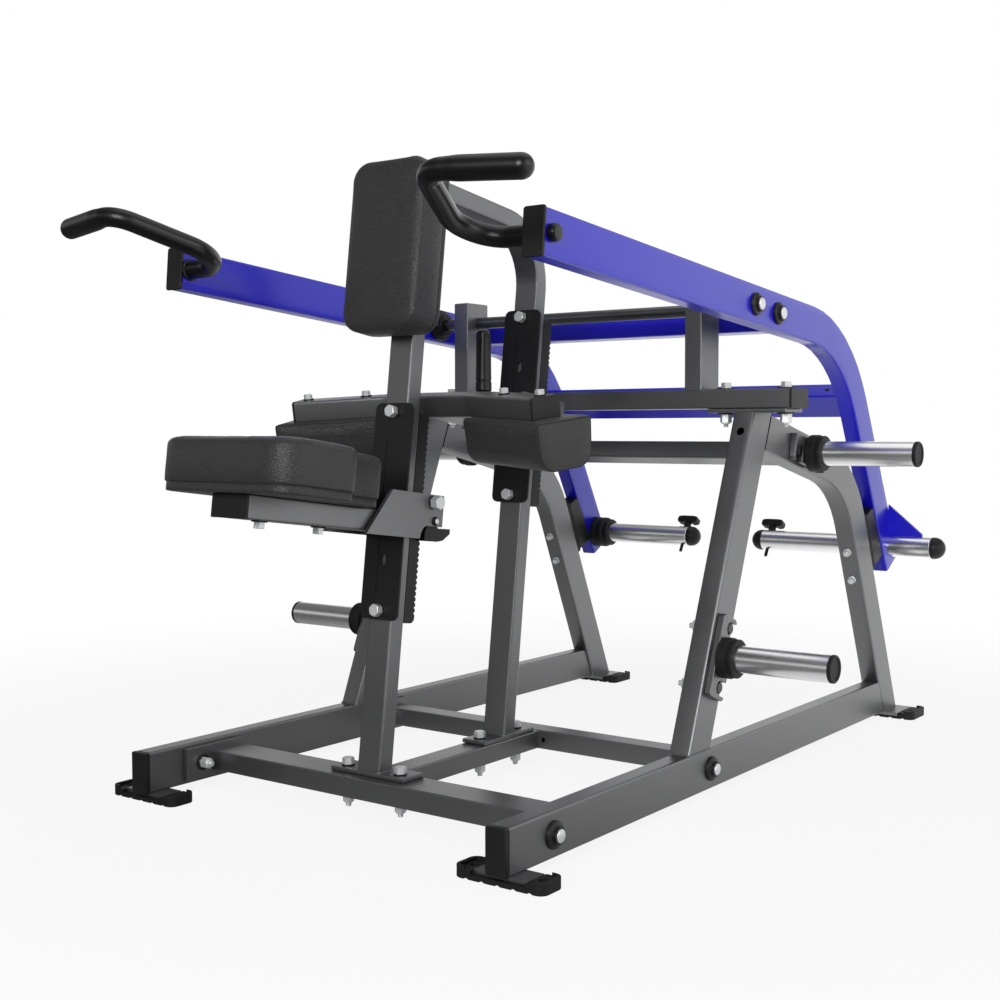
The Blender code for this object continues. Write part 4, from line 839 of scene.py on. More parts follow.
@dataclass
class Steelwork:
    """The tubes, plates, feet and caps that keep their CAD shape."""

    grey: tuple[str, ...] = (
        "left_rail", "right_rail", "base_crossframe", "seat_post", "mast", "left_front_leg",
        "right_front_leg", "left_rear_leg", "right_rear_leg", "rear_crossmember",
        "crossbeam_frame", "seat_carriage", "thigh_carriage")
    blue: tuple[str, ...] = ("left_arm", "right_arm", "upper_cross_tube", "lower_cross_tube")
    nylon: tuple[str, ...] = (
        "left_rail_cap", "right_rail_cap", "seat_guide_plate",
        "seat_rack", "thigh_guide_plate", "thigh_rack", "seat_tube_cap", "seat_release_lever")

    def dress(self) -> None:
        """Give each kept node its finish and soft corners."""
        shading = soft_corners()
        for names, finish in ((self.grey, GREY_COAT), (self.blue, BLUE_COAT),
                              (self.nylon, NYLON)):
            for name in names:
                node = FRAME["nodes"][name]
                for slot in node.material_slots:
                    slot.material = finish.material()
                corners = node.modifiers.new("soft_corners", "NODES")
                corners.node_group = shading
                even_faces(node)
                LOG.info("%s dressed in %s", name, finish.title)


class Head(Enum):
    """What shows of a fastener."""

    HEX = "hex head on a washer"
    NUT = "locking nut with the thread's end"
    DOME = "domed head in a stepped plastic washer"
    STUD = "plain nut with the thread's end"


@dataclass(frozen=True)
class Fastener:
    """One end of a bolt.

    Attributes:
        at: Where its washer sits.
        out: The way it faces.
        head: What shows.
        flats: Distance across its flats.
        washer: Radius of its washer.
        turn: How far its hexagon is turned, in degrees.
    """

    at: Point3
    out: Point3
    head: Head
    flats: float
    washer: float
    turn: float = 12.0

    def bright(self) -> list[Form]:
        """Make the plated parts.

        Returns:
            The head or nut, and the end of the thread.
        """
        spot = aimed(self.at, self.out) @ Matrix.Rotation(math.radians(self.turn), 4, "Z")
        if self.head is Head.DOME:
            r, k = self.flats / 2, self.washer / 17
            shape = lathe([(0, 12.4 * k), (r * 0.5, 12.2 * k), (r * 0.84, 11.5 * k),
                           (r * 0.97, 10.6 * k), (r, 9.6 * k), (r, 3.0 * k), (0, 3.0 * k)], 40)
            return [placed(shape, spot)]
        if self.head is Head.HEX:
            return [placed(hexagon(self.flats, self.flats * 0.62),
                           spot @ Matrix.Translation((0, 0, 2.4)))]
        if self.head is Head.STUD:
            top, r = self.flats * 0.6 + 2.4, self.flats * 0.3
            stud = lathe([(0, top + 3.2), (r - 0.7, top + 3.2), (r, top + 2.5), (r, top - 1.0),
                          (0, top - 1.0)], 28)
            return [placed(hexagon(self.flats, self.flats * 0.6),
                           spot @ Matrix.Translation((0, 0, 2.4))), placed(stud, spot)]
        high = self.flats * 0.85
        nut = placed(hexagon(self.flats, high), spot @ Matrix.Translation((0, 0, 2.4)))
        r = self.flats * 0.42
        collar = lathe([(0, high + 5.0), (r - 1.6, high + 5.0), (r, high + 3.6),
                        (r, high + 1.5), (0, high + 1.5)], 36)
        thread = [(0, high + 11.0), (4.0, high + 11.0)]
        level = high + 10.4
        while level > high + 5.0:
            thread += [(5.0, level), (4.2, level - 0.75)]
            level -= 1.5
        thread.append((0, high + 4.0))
        return [nut, placed(collar, spot), placed(lathe(thread, 28), spot)]

    def dark(self) -> Form:
        """Make the washer, which is a stepped cup under a domed head.

        Returns:
            The washer.
        """
        r = self.washer
        if self.head is Head.DOME:
            h, k = self.flats / 2 + r * 0.16, r / 17
            profile = [(0, 9.6 * k), (h - 1.0, 9.6 * k), (h, 8.6 * k), (h, 5.8 * k),
                       (r - 2.4 * k, 4.4 * k), (r - 0.6, 3.2 * k), (r, 2.0 * k), (r, 0.0),
                       (0, 0.0)]
        else:
            profile = [(0, 2.4), (r - 0.6, 2.4), (r, 1.8), (r, 0.0), (0, 0.0)]
        return placed(lathe(profile, 44), aimed(self.at, self.out))


def facing(out: Point3, points: Iterable[Point3], head: Head, flats: float,
           washer: float) -> tuple[Fastener, ...]:
    """Like fasteners at several points, which all face one way."""
    return tuple(Fastener(at, out, head, flats, washer) for at in points)


def opposed(x: float, y: float, z: float, head: Head, flats: float,
            washer: float) -> tuple[Fastener, ...]:
    """A fastener on each side of the middle, each facing outwards."""
    return tuple(Fastener((side * x, y, z), (side, 0, 0), head, flats, washer)
                 for side, _ in SIDES)


def through(spots: Sequence[Point2], top: float, low: float, head: Point2,
            nut: Point2) -> tuple[Fastener, ...]:
    """Upright bolts through plates, first their heads and then their nuts."""
    return (facing(UP, [(x, y, top) for x, y in spots], Head.HEX, *head)
            + facing(DOWN, [(x, y, low) for x, y in spots], Head.NUT, *nut))


@dataclass(frozen=True)
class FastenerSet:
    """The fasteners of one joint, as two pieces: the plated parts and the washers."""

    name: str
    body: Body
    frame: Matrix
    fasteners: tuple[Fastener, ...]
    finish: Finish = ZINC
    washers: Finish = NYLON

    def build(self) -> None:
        """Make both pieces."""
        bright = merged(shape for one in self.fasteners for shape in one.bright())
        dark = merged(one.dark() for one in self.fasteners)
        for word, shape, finish in (("bolts", bright, self.finish),
                                    ("washers", dark, self.washers)):
            make_piece(f"{self.name}_{word}", shape, self.frame, finish, self.body,
                       crease=24.0)


@dataclass
class Hardware:
    """Every bolt, nut and washer that shows, apart from those of the thigh pads.

    Attributes:
        rail_inner: X of the base flanges' inner faces.
        leg_inner: X of the legs' inner faces.
        crossmember: Underside of the base crossmembers.
        post_plate: Top of the posts' foot plates.
        post_front: Y of a guide plate's face, from its post's middle.
        cheek_outer: X of the carriages' outer faces.
        beam_y: Y of the crossbeam's middle.
        beam: Underside of the beam plates and top of the crossbeam.
        rail_spots: Y and Z of the bolts through a rail.
        arm_spots: Y and Z of the bearing bolts through an arm.
        beam_spots: X of the bolts through the crossbeam.
        bracket_spots: Heights of the bolts of a storage bracket, from its middle.
        leg_x: X of the rear legs' middle.
        leg_knee: Y and Z of a point on the rear legs' front face.
        bumper_heights: Z of the bumper bolts.
    """

    rail_inner: float = 376.5
    leg_inner: float = 381.3
    crossmember: float = 33.8
    post_plate: float = 80.8
    post_front: float = -22.1
    cheek_outer: float = 51.2
    beam_y: float = 66.0
    beam: Point2 = (711.8, 758.2)
    rail_spots: tuple[Point2, ...] = ((-658.0, 53.0), (-141.0, 53.6))
    arm_spots: tuple[Point2, ...] = ((31.0, 919.6), (129.0, 908.0))
    beam_spots: Point2 = (345.0, 473.0)
    bracket_spots: Point2 = (-56.0, 56.0)
    leg_x: float = 403.25
    leg_knee: Point2 = (468.1, 579.6)
    bumper_heights: Point2 = (404.0, 340.0)

    def build(self) -> None:
        """Make the sets in turn, from the base up."""
        for side, word in SIDES:
            self.build_side(side, word)
        low, top, cheek = self.crossmember, self.post_plate, self.cheek_outer
        ahead = (0, -1, 0)
        for name, body, frame, fasteners in (
                ("seat_post_plate", Body.FRAME, MACHINE, through(
                    ((-61.0, -597.0), (61.0, -597.0)), top, low, (19.0, 12.0), (19.0, 12.0))),
                ("mast_plate", Body.FRAME, MACHINE, through(
                    ((0, -288.0), (0, -170.0)), top, low + 0.4, (19.0, 12.0), (19.0, 16.0))),
                ("seat_guide", Body.FRAME, SEAT_POST, facing(
                    ahead, [(0, self.post_front, z) for z in (281.4, 634.2)],
                    Head.HEX, 20.0, 11.0)),
                ("thigh_guide", Body.FRAME, MAST, facing(
                    ahead, [(0, self.post_front, z) for z in (471.9, 826.7)],
                    Head.HEX, 20.0, 11.0)),
                ("seat_tube", Body.SEAT, SEAT_POST, facing(
                    DOWN, [(0, y, 418.0) for y in (-326.7, -191.5)], Head.HEX, 17.0, 13.0)),
                ("seat_cheek", Body.SEAT, SEAT_POST,
                 opposed(cheek, 45.2, 479.1, Head.HEX, 23.0, 12.6)),
                ("thigh_cheek", Body.THIGH, MAST,
                 opposed(cheek, 45.2, 656.5, Head.DOME, 9.0, 7.0)),
                ("seat_latch_pin", Body.SEAT, SEAT_POST,
                 opposed(cheek, 53.0, 446.1, Head.DOME, 10.0, 8.5))):
            FastenerSet(name, body, frame, fasteners).build()

    def build_side(self, side: int, word: str) -> None:
        """Make the fasteners of one side.

        Args:
            side: -1 for the left and 1 for the right.
            word: The side's name.
        """
        out, inward, outer = (side, 0, 0), (-side, 0, 0), side * OUTER_FACE
        for (y, z), where in zip(self.rail_spots, ("front", "middle")):
            FastenerSet(f"{word}_{where}_rail", Body.FRAME, MACHINE, (
                Fastener((outer, y, z), out, Head.DOME, 22.0, 22.5),
                Fastener((side * self.rail_inner, y, z), inward, Head.NUT, 19.0, 15.0))).build()
        FastenerSet(f"{word}_bearing", Body.LEVER, MACHINE, facing(
            out, [(outer, y, z) for y, z in self.arm_spots], Head.DOME, 24.0, 22.0)).build()
        low, top = self.beam
        FastenerSet(f"{word}_crossbeam", Body.FRAME, MACHINE, through(
            [(side * x, self.beam_y) for x in self.beam_spots], top, low, (18.0, 20.0),
            (20.0, 17.0))).build()
        inner = side * (self.leg_inner - OUTER_FACE)
        for where, y, z, turn, _ in STORAGE:
            spot = (MACHINE @ Matrix.Translation((outer, y, z))
                    @ Matrix.Rotation(turn, 4, "X"))
            name = f"{word}_{where}_storage"
            FastenerSet(name, Body.FRAME, spot, facing(
                out, [(0, 4.0, at) for at in self.bracket_spots], Head.HEX, 19.0, 11.5),
                BLACKENED).build()
            FastenerSet(name + "_inner", Body.FRAME, spot, facing(
                inward, [(inner, 4.0, at) for at in self.bracket_spots], Head.NUT, 20.0,
                12.0)).build()
        knee_y, knee_z = self.leg_knee
        FastenerSet(f"{word}_bumper", Body.FRAME, MACHINE, facing(
            (0, -math.cos(REAR_LEG_TAIL), -math.sin(REAR_LEG_TAIL)),
            [(side * self.leg_x, knee_y + (knee_z - z) * math.tan(REAR_LEG_TAIL), z)
             for z in self.bumper_heights], Head.STUD, 13.5, 9.0), washers=ZINC).build()


@dataclass
class Feet:
    """Rubber feet with lipped ends, a scalloped tread and bolt holes.

    Attributes:
        half: Half of a foot's length.
        middle: X of its middle.
        corner: Radius of its corners.
        levels: Height of the plate's seat, of the deck beside it and of the lip.
        plate_half: Half of the rail's foot plate.
        lip: Thickness of the lip.
        scallops: Number of cuts across the tread.
        pocket: X at which the deck's pocket starts, and at which it widens.
        bolt_x: Distance of the bolt holes from the middle.
        places: Name, Y and depth of the feet of one side.
    """

    half: float = 84.0
    middle: float = 406.0
    corner: float = 15.0
    levels: Point3 = (8.7, 14.9, 20.0)
    plate_half: float = 50.3
    lip: float = 8.0
    scallops: int = 5
    pocket: Point2 = (36.0, 62.0)
    bolt_x: float = 63.0
    places: tuple[tuple[str, float, float], ...] = (("front", -753.0, 57.0),
                                                    ("rear", 779.5, 88.0))

    def shape(self, depth: float) -> Form:
        """Shape one foot about its own middle.

        Args:
            depth: Its size along Y.

        Returns:
            The foot.
        """
        d, (seat, deck, top) = depth / 2, self.levels
        body = plate(rectangle(-self.half, self.half, -d, d, self.corner, 8), top, 1.6, 3)
        tools = [block((-self.plate_half, -d - 9, seat), (self.plate_half, d + 9, top + 9),
                       0.0, 0.0)]
        inner = self.half - self.lip
        start, wide = self.pocket
        for way in (-1, 1):
            pocket = rounded([(start, -d - 9, 0), (wide, -d - 9, 0), (wide, -d + 5, 4),
                              (inner, -d + 5, 9), (inner, d - 5, 9), (wide, d - 5, 4),
                              (wide, d + 9, 0), (start, d + 9, 0)], True, 5)
            flip = Matrix.Rotation(0.0 if way > 0 else math.pi, 4, "Z")
            tools.append(placed(plate(pocket, 12.0, 0.0),
                                flip @ Matrix.Translation((0, 0, deck))))
            tools.append(placed(lathe([(0, -4), (6.5, -4), (6.5, 30), (0, 30)], 28),
                                Matrix.Translation((way * self.bolt_x, 0, 0))))
        for i in range(self.scallops):
            x = (i - (self.scallops - 1) / 2) * 2 * self.half / (self.scallops + 0.7)
            tools.append(turned([(0, 0), (6.4, 0), (6.4, 2 * d + 20), (0, 2 * d + 20)], 28,
                                (x, -d - 10, -3.9), (0, 1, 0)))
        return carved(body, tools)

    def build(self) -> None:
        """Make the four feet."""
        for side, word in SIDES:
            for where, y, depth in self.places:
                make_piece(f"{word}_{where}_rubber_foot", self.shape(depth),
                           MACHINE @ Matrix.Translation((side * self.middle, y, 0)), RUBBER,
                           Body.FRAME, (f"{word}_{where}_foot",), edge=0.8)


@dataclass
class TubeCaps:
    """Black caps on the arms' tips and the crossbeam's ends, and plugs in drilled holes.

    Attributes:
        arm_x: X of an arm's middle.
        arm_tip: Y and Z of the middle of an arm's tip.
        arm_slope: Fall of an arm towards the rear.
        arm_cap: Width, height and depth of an arm's cap.
        arm_plug: The same of its plug inside the arm.
        beam_end: Inner and outer X of the crossbeam's cap.
        beam_middle: Y and Z of the crossbeam's middle.
        beam_cap: Depth and height of the crossbeam's cap.
        plug: X, Y and Z of the plugged hole in the lower cross tube.
    """

    arm_x: float = 406.0
    arm_tip: Point2 = (-683.3, 978.6)
    arm_slope: float = 0.0822
    arm_cap: Point3 = (41.0, 79.0, 5.6)
    arm_plug: Point3 = (31.2, 69.2, 14.0)
    beam_end: Point2 = (496.6, 501.5)
    beam_middle: Point2 = (66.0, 739.0)
    beam_cap: Point2 = (76.8, 38.8)
    plug: Point3 = (360.0, 525.9, 767.2)

    def build(self) -> None:
        """Make the caps and plugs of both sides."""
        wide, high, deep = self.arm_cap
        plug_wide, plug_high, plug_deep = self.arm_plug
        near, far = self.beam_end
        tip = Vector((0, -1, self.arm_slope)).normalized()
        for side, word in SIDES:
            cap = merged([tablet(wide, high, 5.0, deep, 2.2, 4, -1.3),
                          tablet(plug_wide, plug_high, 3.0, plug_deep, 0.6, 3, -15.0)])
            make_piece(f"{word}_arm_tip_cap",
                       placed(cap, aimed((side * self.arm_x, *self.arm_tip), tip)), MACHINE,
                       NYLON, Body.LEVER, (f"{word}_arm_cap",))
            make_piece(f"{word}_beam_cap",
                       placed(tablet(*self.beam_cap, 5.2, far - near, 1.0),
                              sideways(side, side * near, *self.beam_middle)),
                       MACHINE, NYLON, Body.FRAME)
            button = turned([(0, 0.9), (3.6, 0.8), (4.6, 0.0), (4.0, -3.0), (0, -3.0)], 28,
                            (side * self.plug[0], *self.plug[1:]),
                            (0, -math.cos(LOWER_CROSS_TILT), math.sin(LOWER_CROSS_TILT)))
            make_piece(f"{word}_hole_plug", button, MACHINE, NYLON, Body.LEVER)


@dataclass
class Bumpers:
    """Rubber strips on the rear legs, with the wedges that the arms rest against.

    Attributes:
        x: X of their middle.
        at: Y and Z of their middle on the leg's rear face.
        strip: Width, length and thickness of the strip.
        wedge: Half length, and reach at its lower and upper end.
        half: Half width of the wedge.
    """

    x: float = 403.4
    at: Point2 = (624.1, 419.0)
    strip: Point3 = (38.0, 146.8, 15.0)
    wedge: Point3 = (65.0, 65.8, 54.5)
    half: float = 18.8

    def build(self) -> None:
        """Make both sides."""
        wide, tall, thick = self.strip
        span, low, high = self.wedge
        wedge = rounded([(thick - 1.5, -span, 0), (low, -span, 4), (high, span, 4),
                         (thick - 1.5, span, 0)], True, 4)
        across = Matrix(((0, 0, 1, -self.half), (0, 1, 0, 0), (1, 0, 0, 0), (0, 0, 0, 1)))
        for side, word in SIDES:
            spot = MACHINE @ aimed((side * self.x, *self.at),
                                   (0, math.cos(REAR_LEG_TAIL), math.sin(REAR_LEG_TAIL)))
            for part, shape, finish in (
                    ("strip", tablet(wide, tall, 9.0, thick, 6.0, 5), RUBBER),
                    ("wedge", placed(plate(wedge, 2 * self.half, 2.0), across), NYLON)):
                make_piece(f"{word}_bumper_{part}", shape, spot, finish, Body.FRAME,
                           (f"{word}_bumper",))


@dataclass
class WeldBeads:
    """Fillet welds round the joints of the frame and the lever, coated with them.

    Attributes:
        radius: Size of a bead.
        ripple: How much each pass of the torch swells it.
        pitch: Length of each ripple.
        corner: How much of each corner a bead leaves out.
        section: Half of a cross tube's depth and height.
        post_x: Half of a post's width.
        lower_cross: Y and Z of the lower cross tube's middle.
        rear_cross: Y and Z of the rear crossmember's middle.
    """

    radius: float = 1.9
    ripple: float = 0.14
    pitch: float = 3.2
    corner: float = 3.0
    section: Point2 = (38.0, 19.0)
    post_x: float = 26.5
    lower_cross: Point2 = (555.6, 743.5)
    rear_cross: Point2 = (291.0, 628.1)

    def bead(self, name: str, body: Body, frame: Matrix, corners: Sequence[Point3],
             finish: Finish) -> None:
        """Run one bead round its corners.

        Args:
            name: The joint that it closes.
            body: The body that it rides on.
            frame: The frame of its corners.
            corners: Where it turns.
            finish: The coat of the steel under it.
        """
        path = dotted(corners, 1.1)
        make_piece(name + "_weld", sweep(path, self.radius, 8, self.ripple, self.pitch, True),
                   frame, finish, body, crease=80.0)

    def around(self, us: Point2, vs: Point2) -> list[Point2]:
        """Outline a tube with its corners taken off.

        Args:
            us: The tube's two sides.
            vs: Its underside and top.

        Returns:
            The outline, which starts low on its first side.
        """
        (u0, u1), (v0, v1), c = us, vs, self.corner
        return [(u0, v0 + c), (u0 + c, v0), (u1 - c, v0), (u1, v0 + c), (u1, v1 - c),
                (u1 - c, v1), (u0 + c, v1), (u0, v1 - c)]

    def level_ring(self, level: float, xs: Point2, ys: Point2) -> list[Point3]:
        """Corners of a bead round the foot of an upright tube."""
        loop = self.around(xs, ys)
        return [(x, y, level) for x, y in loop[1:] + loop[:1]]

    def end_ring(self, x: float, ys: Point2, zs: Point2) -> list[Point3]:
        """Corners of a bead round the end of a tube that runs from side to side."""
        return [(x, y, z) for y, z in self.around(ys, zs)]

    def build(self) -> None:
        """Weld the posts, legs, uprights and cross tubes."""
        (deep, high), post = self.section, (-self.post_x, self.post_x)
        cross = (-deep, deep), (-high, high)
        for name, ys in (("seat_post", (-613.1, -576.8)), ("mast", (-244.1, -207.8))):
            self.bead(name + "_foot", Body.FRAME, MACHINE, self.level_ring(80.6, post, ys),
                      GREY_COAT)
        lower = MACHINE @ (Matrix.Translation((0, *self.lower_cross))
                           @ Matrix.Rotation(-LOWER_CROSS_TILT, 4, "X"))
        rear = MACHINE @ (Matrix.Translation((0, *self.rear_cross))
                          @ Matrix.Rotation(-REAR_LEG_LEAN, 4, "X"))
        for side, word in SIDES:
            leg = tuple(sorted((side * 381.5, side * 425.0)))
            upright = tuple(sorted((side * 271.5, side * 309.5)))
            arm_x, leg_x = side * 386.6, side * 381.0
            for name, body, frame, corners, finish in (
                    ("front_leg_foot", Body.FRAME, MACHINE,
                     self.level_ring(91.3, leg, (-223.4, -142.4)), GREY_COAT),
                    ("upright_foot", Body.FRAME, MACHINE,
                     self.level_ring(758.0, upright, (28.4, 103.6)), GREY_COAT),
                    ("upper_cross", Body.LEVER, MACHINE,
                     self.end_ring(arm_x, (170, 246), (877, 915)), BLUE_COAT),
                    ("lower_cross", Body.LEVER, lower, self.end_ring(arm_x, *cross), BLUE_COAT),
                    ("rear_cross", Body.FRAME, rear, self.end_ring(leg_x, *cross), GREY_COAT)):
                self.bead(f"{word}_{name}", body, frame, corners, finish)


# Lever fittings.


@dataclass
class WeightHorns:
    """Plate-loading horns through the arms' ends, with bullnoses, collars and lock pins.

    Attributes:
        radius: Radius of the tube.
        inner_end: X of its end between the arms.
        outer_end: X of its end outside them.
        nose: Length of a bullnose.
        level: Height of the horn.
        arm_y: Y of the horn.
        pin_x: X of the lock pin.
        pin_tilt: How far the pin leans to the rear, in degrees.
        pin_radius: Radius of its stem.
    """

    radius: float = 24.5
    inner_end: float = 75.0
    outer_end: float = 557.0
    nose: float = 30.0
    level: float = 405.0
    arm_y: float = 745.0
    pin_x: float = 119.0
    pin_tilt: float = 30.0
    pin_radius: float = 4.0

    def nose_profile(self) -> list[Point2]:
        """Draw the bullnose from its tip down to a plug inside the tube.

        Returns:
            Its profile.
        """
        r = self.radius + 0.4
        return dome(r, 24, self.nose) + [(r, 1.2), (r - 1.2, 0.0), (r - 4, -0.2),
                                         (r - 4, -6.0), (0, -6.0)]

    def build(self) -> None:
        """Make both horns and what is on them."""
        spot = MACHINE @ Matrix.Translation((0, self.arm_y, self.level))
        r, start, end = self.radius, self.inner_end + self.nose, self.outer_end - self.nose
        bore = r + 0.2
        tube = [(0, start + 1), (r - 1, start), (r, start + 1), (r, end - 1), (r - 1, end),
                (0, end - 1)]
        collar = rounded([(bore, 0, 0), (39, 0, 1), (39, 13, 1.2), (36, 15, 1), (36, 19, 1),
                          (38.6, 21, 1.2), (38.6, 33, 2.5), (33, 36, 2), (33, 40, 2),
                          (34.5, 42, 1.5), (34.5, 48.4, 1.6), (bore, 48.4, 0.8)], True, 4)
        for side, word in SIDES:
            for name, profile, steps, x, way, finish, node, slot in (
                    ("horn_sleeve", tube, 96, 0, side, CHROME, "lever_horn", "horn_steel"),
                    ("horn_outer_nose", self.nose_profile(), 72, side * end, side, STIPPLED,
                     "", "moulded_cap"),
                    ("horn_inner_nose", self.nose_profile(), 72, side * start, -side, STIPPLED,
                     "", "moulded_cap"),
                    ("weight_stop", collar, 80, side * ARM_INNER, -side, RUBBER,
                     "horn_collar", "horn_rubber")):
                make_piece(f"{word}_{name}", turned(profile, steps, (x, 0, 0), (way, 0, 0)),
                           spot, finish, Body.LEVER, (f"{word}_{node}",) if node else ())
            self.build_pin(side, word)

    def build_pin(self, side: int, word: str) -> None:
        """Make a pull pin with its waisted T-knob.

        Args:
            side: -1 for the left and 1 for the right.
            word: The side's name.
        """
        frame = (MACHINE @ Matrix.Translation((side * self.pin_x, self.arm_y, self.level))
                 @ Matrix.Rotation(-math.radians(self.pin_tilt), 4, "X"))
        top = self.radius + 5.0
        r = self.pin_radius
        stem = lathe([(0, -self.radius - 20), (r - 1.4, -self.radius - 20), (r, -self.radius - 18),
                      (r, top - 3), (9, top - 3), (9, top + 4), (8, top + 5.4), (8, top + 12),
                      (0, top + 12)], 40)
        low, high = top + 5.0, top + 25.0
        outline = rounded([(-28, low + 2.5, 6), (-15, low + 0.5, 6), (-8, low + 3.5, 3),
                           (8, low + 3.5, 3), (15, low + 0.5, 6), (28, low + 2.5, 6),
                           (28, high - 2, 6), (15, high, 4), (-15, high, 4),
                           (-28, high - 2, 6)], True, 4)
        knob = plate(outline, 22.0, 3.6, 4)
        turn = Matrix(((1, 0, 0, 0), (0, 0, -1, 11), (0, 1, 0, 0), (0, 0, 0, 1)))
        body = Body.RIGHT_PIN if side > 0 else Body.LEFT_PIN
        make_piece(f"{word}_pull_pin", merged([stem, placed(knob, turn)]), frame, NYLON, body,
                   (f"{word}_lock_pin",))


@dataclass
class Pivot:
    """The shaft that the lever turns on, and the bearing hubs.

    Attributes:
        shaft_radius: Radius of the shaft.
        reach: X of its ends.
        hub_radius: Radius of a hub's flange.
        hub_length: How far a hub stands out from its arm.
    """

    shaft_radius: float = 12.5
    reach: float = 386.0
    hub_radius: float = 34.0
    hub_length: float = 26.0

    def build(self) -> None:
        """Make the shaft and both hubs."""
        r, end = self.shaft_radius, self.reach
        shaft = [(0, -end), (r - 1, -end), (r, -end + 1), (r, end - 1), (r - 1, end), (0, end)]
        make_piece("pivot_bar", turned(shaft, 64, (0, 0, 0), (1, 0, 0)), LEVER, GROUND,
                   Body.FRAME, ("pivot_shaft",))
        hub = rounded([(r + 0.2, 0, 0), (self.hub_radius, 0, 1.5), (self.hub_radius, 12, 2.5),
                       (25.5, 13, 3), (24, 18, 2), (24, self.hub_length, 2.5),
                       (r + 0.2, self.hub_length, 0.8)], True, 5)
        for side, word in SIDES:
            make_piece(f"{word}_bearing_housing",
                       turned(hub, 72, (side * ARM_INNER, 0, 0), (-side, 0, 0)),
                       LEVER, NYLON, Body.LEVER, (f"{word}_bearing_hub",))


@dataclass
class Handles:
    """Bent press handles with dipped grips.

    Attributes:
        tube: Radius of the handle's tube.
        spigot: Radius of its end in the arm.
        grip: Radius of the grip.
        corners: X, Y and Z of the tube's two bends and of its end.
        bends: Radius of each bend.
    """

    tube: float = 17.0
    spigot: float = 13.4
    grip: float = 18.8
    corners: tuple[Point3, ...] = ((257.0, -665.0, 977.1), (344.0, -874.0, 1050.0),
                                   (497.0, -845.0, 1042.0))
    bends: Point2 = (65.0, 45.0)

    def build(self) -> None:
        """Make both handles."""
        collar = rounded([(self.tube, 0, 0), (20.5, 0, 0.8), (20.5, 2.6, 1.2),
                          (self.tube, 4.4, 0)], True, 3)
        neck = self.spigot + 0.8
        boss = [(0, 13.4), (9.6, 13.2), (11.4, 12.8), (13.4, 10.6), (neck, 8.0), (neck, 0),
                (0, 0)]
        for side, word in SIDES:
            points = [Vector((side * x, y, z)) for x, y, z in self.corners]
            root = Vector((side * ARM_INNER, *points[0].yz))
            ahead = (points[2] - points[1]).normalized()
            reach = self.bends[1] * math.tan((points[1] - points[0]).angle(points[2] - points[1])
                                             / 2)
            begin = points[1] + ahead * (reach + 1.0)
            path = bent([root, *points], self.bends, 4.0)
            path[-1] = points[2] + ahead * 3.0
            bar = merged([sweep(path, self.tube, 48), turned(collar, 56, root, (-side, 0, 0))])
            length = (points[2] + ahead * self.grip - begin).length
            sleeve = dome(self.grip, self.grip, length) + [
                (self.grip, 22.0), (self.grip - 0.4, 14.0), (self.grip - 1.2, 6.0),
                (self.tube + 0.3, 0.2), (0, 0.2)]
            for name, shape, node, slot in (
                    ("press_handle", bar, "handle", "handle_coat"),
                    ("handle_boss", turned(boss, 56, (side * OUTER_FACE, root.y, root.z),
                                           (side, 0, 0)), "", "handle_coat"),
                    ("grip_sleeve", turned(sleeve, 64, begin, ahead), "grip", "grip_rubber")):
                make_piece(f"{word}_{name}", shape, MACHINE, DIPPED, Body.LEVER,
                           (f"{word}_{node}",) if node else ())


